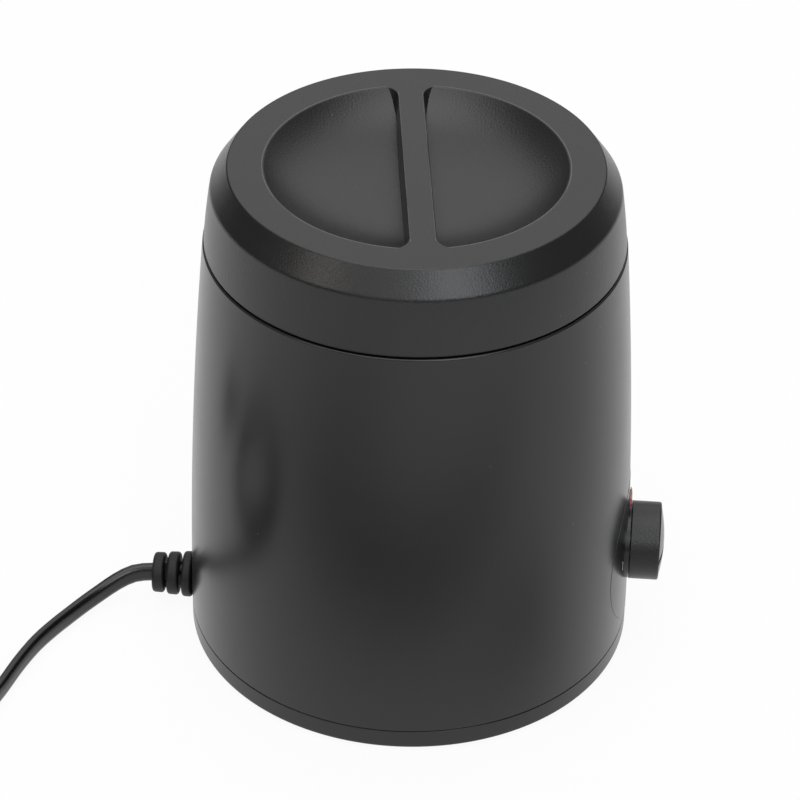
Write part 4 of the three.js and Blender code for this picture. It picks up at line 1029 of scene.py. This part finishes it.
def model_relief():
    root = barrel_radius(CORD_EXIT)
    anchor = root - 5.4
    parts = [turned([(0.0, anchor - 1.1), (4.5, anchor - 1.1), (4.5, root + 1.3),
                     (0.0, root + 1.3)], 64, about="Y")]
    for radius, start, length in ((7.35, 0.3, 3.3), (6.95, 4.6, 3.8), (6.5, 9.3, 3.8)):
        near = root + start
        rib = [(0.0, near), (radius, near, 1.0), (radius - 0.12, near + length, 1.0),
               (0.0, near + length)]
        parts.append(turned(softened(rib, 6), 96, about="Y"))
    parts += [block(9.0, 3.4, 3.0, (0.0, root + 4.0, 0.0), 0.4),
              block(3.0, 3.4, 10.4, (0.0, root + 8.7, 0.0), 0.4)]
    relief = shaped(block(13.0, 2.2, 8.4, (0.0, anchor - 1.1, 0.0), 0.4), *parts, how="UNION")
    relief = moved(shaped(relief, oval_bar(2.35, 3.5, 56.0, 86.0)), z=CORD_EXIT)
    placed(relief, "ribbed_relief", "relief_black", "strain_relief")


def oval_bar(half_thick, half_wide, near, far):
    clear_selection()
    bpy.ops.mesh.primitive_cylinder_add(vertices=48, radius=MM, depth=(far - near) * MM,
                                        location=(0.0, (near + far) / 2 * MM, 0.0),
                                        rotation=(pi / 2, 0.0, 0.0))
    piece = settled(bpy.context.object)
    resized(piece, (half_thick, 1.0, half_wide))
    leave()
    return piece


def catmull(a, b, c, d, t):
    """A point between b and c on the centripetal curve through four points"""
    times = [0.0]
    for first, second in ((a, b), (b, c), (c, d)):
        times.append(times[-1] + max((second - first).length, 1e-9) ** 0.5)
    s = times[1] + (times[2] - times[1]) * t

    def mix(p, q, i, j):
        return p.lerp(q, (s - times[i]) / (times[j] - times[i]))

    ab, bc, cd = mix(a, b, 0, 1), mix(b, c, 1, 2), mix(c, d, 2, 3)
    return mix(mix(ab, bc, 0, 2), mix(bc, cd, 1, 3), 1, 2)


def smooth_path(points, steps):
    """Points along a smooth curve through the given ones, so many to 12 mm"""
    line = [Vector(point) for point in points]
    line = [line[0] * 2 - line[1], *line, line[-1] * 2 - line[-2]]
    path = []
    for index in range(1, len(line) - 2):
        count = max(1, round(steps * (line[index + 1] - line[index]).length / 12.0))
        for step in range(count):
            path.append(catmull(*line[index - 1:index + 3], step / count))
    path.append(line[-2])
    return path


def travelled(path):
    """The distance along a path at each of its points"""
    far = [0.0]
    for first, second in zip(path, path[1:]):
        far.append(far[-1] + (second - first).length)
    return far


def tube(name, path, section):
    """A closed tube whose section stays upright: (across, up) points round each ring"""
    count = len(section)
    vertices, faces = [], []
    for index, point in enumerate(path):
        along = (path[min(index + 1, len(path) - 1)] - path[max(index - 1, 0)]).normalized()
        across = Vector((along.y, -along.x, 0.0)).normalized()
        upward = across.cross(along)
        vertices += [(point + across * u + upward * v) * MM for u, v in section]
    last = (len(path) - 1) * count
    for ring in range(0, last, count):
        for side in range(count):
            a, b = ring + side, ring + (side + 1) % count
            faces.append((a, a + count, b + count, b))
    faces.append(tuple(range(count)))
    faces.append(tuple(last + side for side in reversed(range(count))))
    mesh = bpy.data.meshes.new(name)
    mesh.from_pydata(vertices, [], faces)
    mesh.uv_layers.new(name="along")
    far = travelled(path)
    for loop in mesh.loops:
        ring, side = divmod(loop.vertex_index, count)
        mesh.uv_layers["along"].data[loop.index].uv = (far[ring] * MM, side / count)
    piece = linked(name, mesh)
    edit(piece)
    close_up()
    return piece


def coil_point(turn):
    """The coil spirals in, climbs a layer where it reverses, and spirals out"""
    middle = COIL_TURNS / 2
    climb = min(max(turn - middle + COIL_CLIMB / 2, 0.0), COIL_CLIMB) / COIL_CLIMB
    wound = middle - abs(turn - middle)
    radius = COIL_RADIUS - COIL_PITCH * wound - COIL_DIP * sin(pi * climb) ** 2
    angle = COIL_ENTRY - 2 * pi * turn
    lift = climb * climb * (3 - 2 * climb)
    return (COIL_X + radius * cos(angle), COIL_Y + radius * sin(angle),
            COIL_LOW + lift * COIL_LAYER)


def coil_end(turn, reach):
    """The place so far along the tangent from an end of the coil"""
    angle = COIL_ENTRY - 2 * pi * turn
    return (COIL_X + COIL_RADIUS * cos(angle) + reach * sin(angle),
            COIL_Y + COIL_RADIUS * sin(angle) - reach * cos(angle), COIL_LOW)


def cord_points():
    """The cord's route: out of the relief, down to the floor, round the coil, to the plug"""
    wide = sizes().cord_wide / MM
    floor = wide / 2 + 0.15
    end = barrel_radius(CORD_EXIT) + RELIEF_LONG
    out_x, out_y, _ = coil_end(COIL_TURNS, wide)
    free = [
        (0, 54, CORD_EXIT), (0, 68, CORD_EXIT), (0, end, CORD_EXIT), (-1.1, 88.4, 8.1),
        (-3.9, 93.5, 6.7), (-7.8, 98.2, 5.0), (-12.4, 102.5, 3.9), (-18.0, 106.6, floor),
        (-25.0, 110.8, floor), (-32.8, 114.8, floor), (-42.6, 118.4, floor),
        (-56.2, 122.3, floor), coil_end(0.0, -2 * wide), coil_end(0.0, -wide),
    ]
    wound = [coil_point(turn) for turn in spread(0.0, COIL_TURNS, round(COIL_TURNS * 24))]
    shares = ((0.0, 1.0), (0.2, 0.85), (0.5, 0.4), (0.8, 0.05), (1.0, 0.0))
    tail = [(out_x + FIT + along * (TAIL - FIT + 0.1), out_y,
             PLUG_HEIGHT + rise * (COIL_HIGH - PLUG_HEIGHT)) for along, rise in shares]
    return free + wound + tail


def cord_section():
    """A flat twin section: two round cores side by side, with a groove between them"""
    half_wide = sizes().cord_wide / MM / 2
    half_thick = sizes().cord_thick / MM / 2
    section = []
    for angle in spread(0.0, 2 * pi, 28)[:-1]:
        c, s = cos(angle), sin(angle)
        across = half_thick * copysign(abs(c) ** 0.8, c)
        groove = 0.16 * exp(-(s * half_wide / 0.55) ** 2)
        section.append((across * (1 - groove / half_thick), half_wide * s))
    return section


def model_cord():
    path = smooth_path(cord_points(), 4)
    cord = tube("flat_cord", path, cord_section())
    placed(cord, "flat_cord", "cord_black", "power_cord", "cord_coil", "cord_tail", angle=60.0)


def model_strap():
    """A woven strap round the coil, with rounded corners"""
    low, high = COIL_LOW - CORD_HALF - 0.9, COIL_HIGH + CORD_HALF + 0.9
    near, far, corner = 29.9, 40.0, 2.1
    outline = softened([(near, low, corner), (far, low, corner), (far, high, corner),
                        (near, high, corner)], 6, closed=True)
    points = [(x, -STRAP_WIDE / 2, z) for x, z in outline]
    strap = drawn(points + points[:1])
    weld()
    select_mesh()
    bpy.ops.mesh.extrude_region_move(
        TRANSFORM_OT_translate={"value": (0.0, STRAP_WIDE * MM, 0.0)})
    close_up()
    strap = bevelled(modified(strap, "SOLIDIFY", thickness=0.7 * MM, offset=0.0), 0.15, 2, 60.0)
    strap = moved(rotated(strap, radians(-10)), COIL_X, COIL_Y)
    return placed(strap, "coil_strap", "strap_black", "cord_tie", slot="relief_black")


def model_plug():
    start = PLUG_BOX[0].x / MM
    middle = (PLUG_BOX[0].y + PLUG_BOX[1].y) / 2 / MM
    corners = [(0.0, 0.0), (3.45, 0.0, 0.4), (3.5, 2.0)]
    for rib in range(3):
        low = 2.4 + 3.6 * rib
        radius = 3.7 + 0.38 * rib
        corners += [(radius - 0.5, low), (radius + 0.3, low + 0.5, 0.3),
                    (radius + 0.4, low + 2.2, 0.3), (radius - 0.4, low + 2.8)]
    corners += [(4.6, 13.6), (4.9, 24.0), (0.0, 24.0)]
    boot = turned(softened(corners, 4), 48, about="Y")
    boot = moved(rotated(boot, -pi / 2), start, middle, PLUG_HEIGHT)
    shape = [(14.0, -6.5), (29.0, -13.0), (44.0, -13.0), (44.0, 13.0), (29.0, 13.0), (14.0, 6.5)]
    body = lofted([[(x, y, z) for x, y in shape] for z in (-7.0, 7.0)])
    body = moved(bevelled(body, 2.0, 5, 30.0), start, middle, PLUG_HEIGHT)
    body = shaped(body, boot, how="UNION")
    placed(body, "plug_shell", "relief_black", "plug_body")
    pins = []
    for number, aside in ((1, -PIN_ASIDE), (2, PIN_ASIDE)):
        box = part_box(f"plug_pin_{number}")
        low, high = box[0].x / MM, box[1].x / MM
        pin = turned(softened([(0.0, low), (2.0, low), (2.0, high, 1.2), (0.0, high)], 6), 40,
                     about="Y")
        pin = moved(rotated(pin, -pi / 2), 0.0, middle + aside, PLUG_HEIGHT)
        pins.append(placed(pin, f"round_pin_{number}", "pin_metal", f"plug_pin_{number}"))
    return [body, *pins]


# Pieces whose frame solids are right as they are

CARRIED_OVER = {
    "screw_steel": "base_screw_1 base_screw_2 base_screw_3 base_screw_4 flange_screw_1 "
                   "flange_screw_2 flange_screw_3 band_screw_1 band_screw_2 thermostat_nut "
                   "clamp_screw_1 clamp_screw_2 terminal_screw fuse_strap stud_nut_1 "
                   "stud_nut_2",
    "mica": "heater_band",
    "felt": "insulation",
    "brass": "thermostat_shaft",
    "nylon": "thermostat lamp_holder cord_clamp terminal_block",
    "sleeve_white": "thermal_fuse fuse_wire heater_live_wire heater_neutral_wire",
    "wire_brown": "live_core thermostat_wire",
    "wire_blue": "neutral_core lamp_wire",
}


def finish_inner_pieces():
    for finish, names in CARRIED_OVER.items():
        for name in names.split():
            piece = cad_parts[name]
            slots = piece.material_slots
            if len(slots):
                for slot in slots:
                    slot.material = finish_for(finish)
            else:
                piece.data.materials.append(finish_for(finish))


# Stage

def set_camera():
    lens = bpy.data.cameras.new("camera")
    lens.lens = studio().lens
    lens.sensor_width = 36.0
    lens.clip_start = 0.01
    camera = linked("camera", lens)
    place = Vector((-0.84956, -0.05941, 0.69508))
    look = Vector((-0.00027, 0.00380, 0.08215)) - place
    turn = look.to_track_quat("-Z", "Y").to_matrix()
    turn = turn @ Matrix.Rotation(radians(0.882), 3, "Z")
    camera.matrix_world = Matrix.Translation(place) @ turn.to_4x4()
    bpy.context.scene.camera = camera


# Painted shadows on the floor, seen only in reflections, which the barrel mirrors as dark
# places: x, y, their reaches in metres, and their share
PAINTED_SHADOW_SPOTS = (
    (-0.175, -0.03, 0.055, 0.17, 0.62),
    (-0.24, 0.12, 0.16, 0.11, 0.34),
    (-0.08, -0.095, 0.035, 0.05, 0.40),
    (-0.09, 0.20, 0.08, 0.07, 0.10),
    (-0.02, -0.21, 0.08, 0.10, 0.12),
)


def set_floor():
    clear_selection()
    bpy.ops.mesh.primitive_circle_add(vertices=96, radius=1.6, fill_type="NGON")
    floor = bpy.context.object
    floor.name = "floor"
    finish = new_finish("pale_floor")
    seen = finish.add("ShaderNodeLightPath", output="Is Camera Ray")
    gloss = finish.add("ShaderNodeLightPath", output="Is Glossy Ray")
    x, y, _ = finish.split(finish.place())

    def shade(x_at, y_at, x_reach, y_reach, share):
        along = (x - x_at) / x_reach
        across = (y - y_at) / y_reach
        return finish.maths("EXPONENT", 0 - along * along - across * across) * share

    # painted shadows: the floor darkens only as glossy rays see it
    dim = sum(shade(*spot) for spot in PAINTED_SHADOW_SPOTS)
    pale = finish.add("ShaderNodeBsdfDiffuse", {"Color": (0.82, 0.82, 0.82, 1.0)})
    glow = finish.add("ShaderNodeEmission", {
        "Color": finish.between(gloss * dim, (1.0, 1.0, 1.0), (0.0, 0.0, 0.0)),
        "Strength": 1.0})
    mixed = finish.add("ShaderNodeMixShader", {0: seen * 0.93 + gloss * 0.9, 1: pale, 2: glow})
    floor.data.materials.append(finish.surface(mixed))


def set_tent():
    world = bpy.data.worlds.new("light_tent")
    bpy.context.scene.world = world
    tent = Finish(world)
    _, y, z = tent.split(tent.place("Generated"))
    low, high = studio().horizon, studio().sky
    light = tent.ramp(z * 0.5 + 0.5, (0.0, low), (0.55, low), (0.70, high * 0.9),
                      (0.82, high), (0.90, high), (0.95, high * 1.5), (0.985, high * 2.2))
    side = tent.ramp((y * y) ** 0.5, (0.36, 0.0), (0.56, 0.88))
    light = tent.between(side, light, (low, low, low))
    seen = tent.add("ShaderNodeLightPath", output="Is Camera Ray")
    shade = tent.between(seen, light, (1.0, 1.0, 1.0))
    back = tent.add("ShaderNodeBackground", {"Color": shade, "Strength": 1.0})
    tent.surface(back, "ShaderNodeOutputWorld")


def set_lamp(name, place, power, size, colour):
    data = bpy.data.lights.new(name, "AREA")
    data.shape = "DISK"
    data.size = size
    data.energy = power
    data.color = colour
    place = Vector(place)
    turn = (Vector((0.0, 0.0, 0.1)) - place).to_track_quat("-Z", "Y")
    linked(name, data).matrix_world = Matrix.Translation(place) @ turn.to_matrix().to_4x4()


# Operators

class WAXHEATER_OT_stage(bpy.types.Operator):
    """Set the camera, floor, light tent and lamps"""
    bl_idname = "wax_heater.stage"
    bl_label = "Set the stage"

    def execute(self, context):
        scene = context.scene
        scene.view_settings.view_transform = "Standard"
        set_camera()
        set_floor()
        set_tent()
        power = studio().front
        set_lamp("warm_lamp", (-0.74, 0.86, 0.80), power * 0.5, 0.45, (1.0, 0.95, 0.88))
        set_lamp("cool_lamp", (-0.97, -0.56, 0.88), power * 1.5, 0.80, (0.93, 0.97, 1.0))
        return {"FINISHED"}


class WAXHEATER_OT_cord(bpy.types.Operator):
    """Lay the flat cord, its strap and its plug"""
    bl_idname = "wax_heater.cord"
    bl_label = "Model the cord and plug"

    def execute(self, context):
        plug = model_plug()
        strap = model_strap()
        model_cord()
        return {"FINISHED"}


class WAXHEATER_OT_relief(bpy.types.Operator):
    """Model the ribbed strain relief"""
    bl_idname = "wax_heater.relief"
    bl_label = "Model the strain relief"

    def execute(self, context):
        model_relief()
        return {"FINISHED"}


class WAXHEATER_OT_barrel(bpy.types.Operator):
    """Model the barrel, its base ring and its feet"""
    bl_idname = "wax_heater.barrel"
    bl_label = "Model the barrel and base"

    def execute(self, context):
        model_housing()
        model_base()
        model_feet()
        return {"FINISHED"}


class WAXHEATER_OT_lid(bpy.types.Operator):
    """Model the lid with its dished recess and grip bar"""
    bl_idname = "wax_heater.lid"
    bl_label = "Model the lid"

    def execute(self, context):
        model_lid()
        return {"FINISHED"}


class WAXHEATER_OT_pot(bpy.types.Operator):
    """Model the heating chamber, the pot and its bail"""
    bl_idname = "wax_heater.pot"
    bl_label = "Model the chamber and pot"

    def execute(self, context):
        model_chamber()
        model_pot()
        model_bail()
        return {"FINISHED"}


class WAXHEATER_OT_dial(bpy.types.Operator):
    """Model the dial, its printed scale, the knob and the lamp"""
    bl_idname = "wax_heater.dial"
    bl_label = "Model the dial, knob and lamp"

    def execute(self, context):
        model_dial()
        model_knob()
        model_lamp()
        return {"FINISHED"}


class WAXHEATER_OT_inner(bpy.types.Operator):
    """Give the inner pieces their finishes"""
    bl_idname = "wax_heater.inner"
    bl_label = "Finish the inner pieces"

    def execute(self, context):
        finish_inner_pieces()
        return {"FINISHED"}


class WAXHEATER_PT_panel(bpy.types.Panel):
    """Sizes, colours and steps of the wax heater"""
    bl_idname = "WAXHEATER_PT_panel"
    bl_label = "Wax Heater"
    bl_space_type = "VIEW_3D"
    bl_region_type = "UI"
    bl_category = "Wax Heater"

    def draw(self, context):
        for group in (sizes(), colours(), studio()):
            column = self.layout.column()
            for name in group.__annotations__:
                column.prop(group, name)
        for step in STEPS:
            self.layout.operator(step.bl_idname)


STEPS = (
    WAXHEATER_OT_stage,
    WAXHEATER_OT_cord,
    WAXHEATER_OT_relief,
    WAXHEATER_OT_barrel,
    WAXHEATER_OT_lid,
    WAXHEATER_OT_pot,
    WAXHEATER_OT_dial,
    WAXHEATER_OT_inner,
)
CLASSES = (HeaterSizes, HeaterColours, HeaterStudio, *STEPS, WAXHEATER_PT_panel)


def register():
    for item in CLASSES:
        bpy.utils.register_class(item)
    scene = bpy.types.Scene
    scene.wax_heater_sizes = bpy.props.PointerProperty(type=HeaterSizes)
    scene.wax_heater_colours = bpy.props.PointerProperty(type=HeaterColours)
    scene.wax_heater_studio = bpy.props.PointerProperty(type=HeaterStudio)


def unregister():
    del bpy.types.Scene.wax_heater_sizes
    del bpy.types.Scene.wax_heater_colours
    del bpy.types.Scene.wax_heater_studio
    for item in reversed(CLASSES):
        bpy.utils.unregister_class(item)


def main():
    register()
    bpy.ops.wax_heater.stage()
    bpy.ops.wax_heater.cord()
    bpy.ops.wax_heater.relief()
    bpy.ops.wax_heater.barrel()
    bpy.ops.wax_heater.lid()
    bpy.ops.wax_heater.pot()
    bpy.ops.wax_heater.dial()
    bpy.ops.wax_heater.inner()


if __name__ == "__main__":
    main()
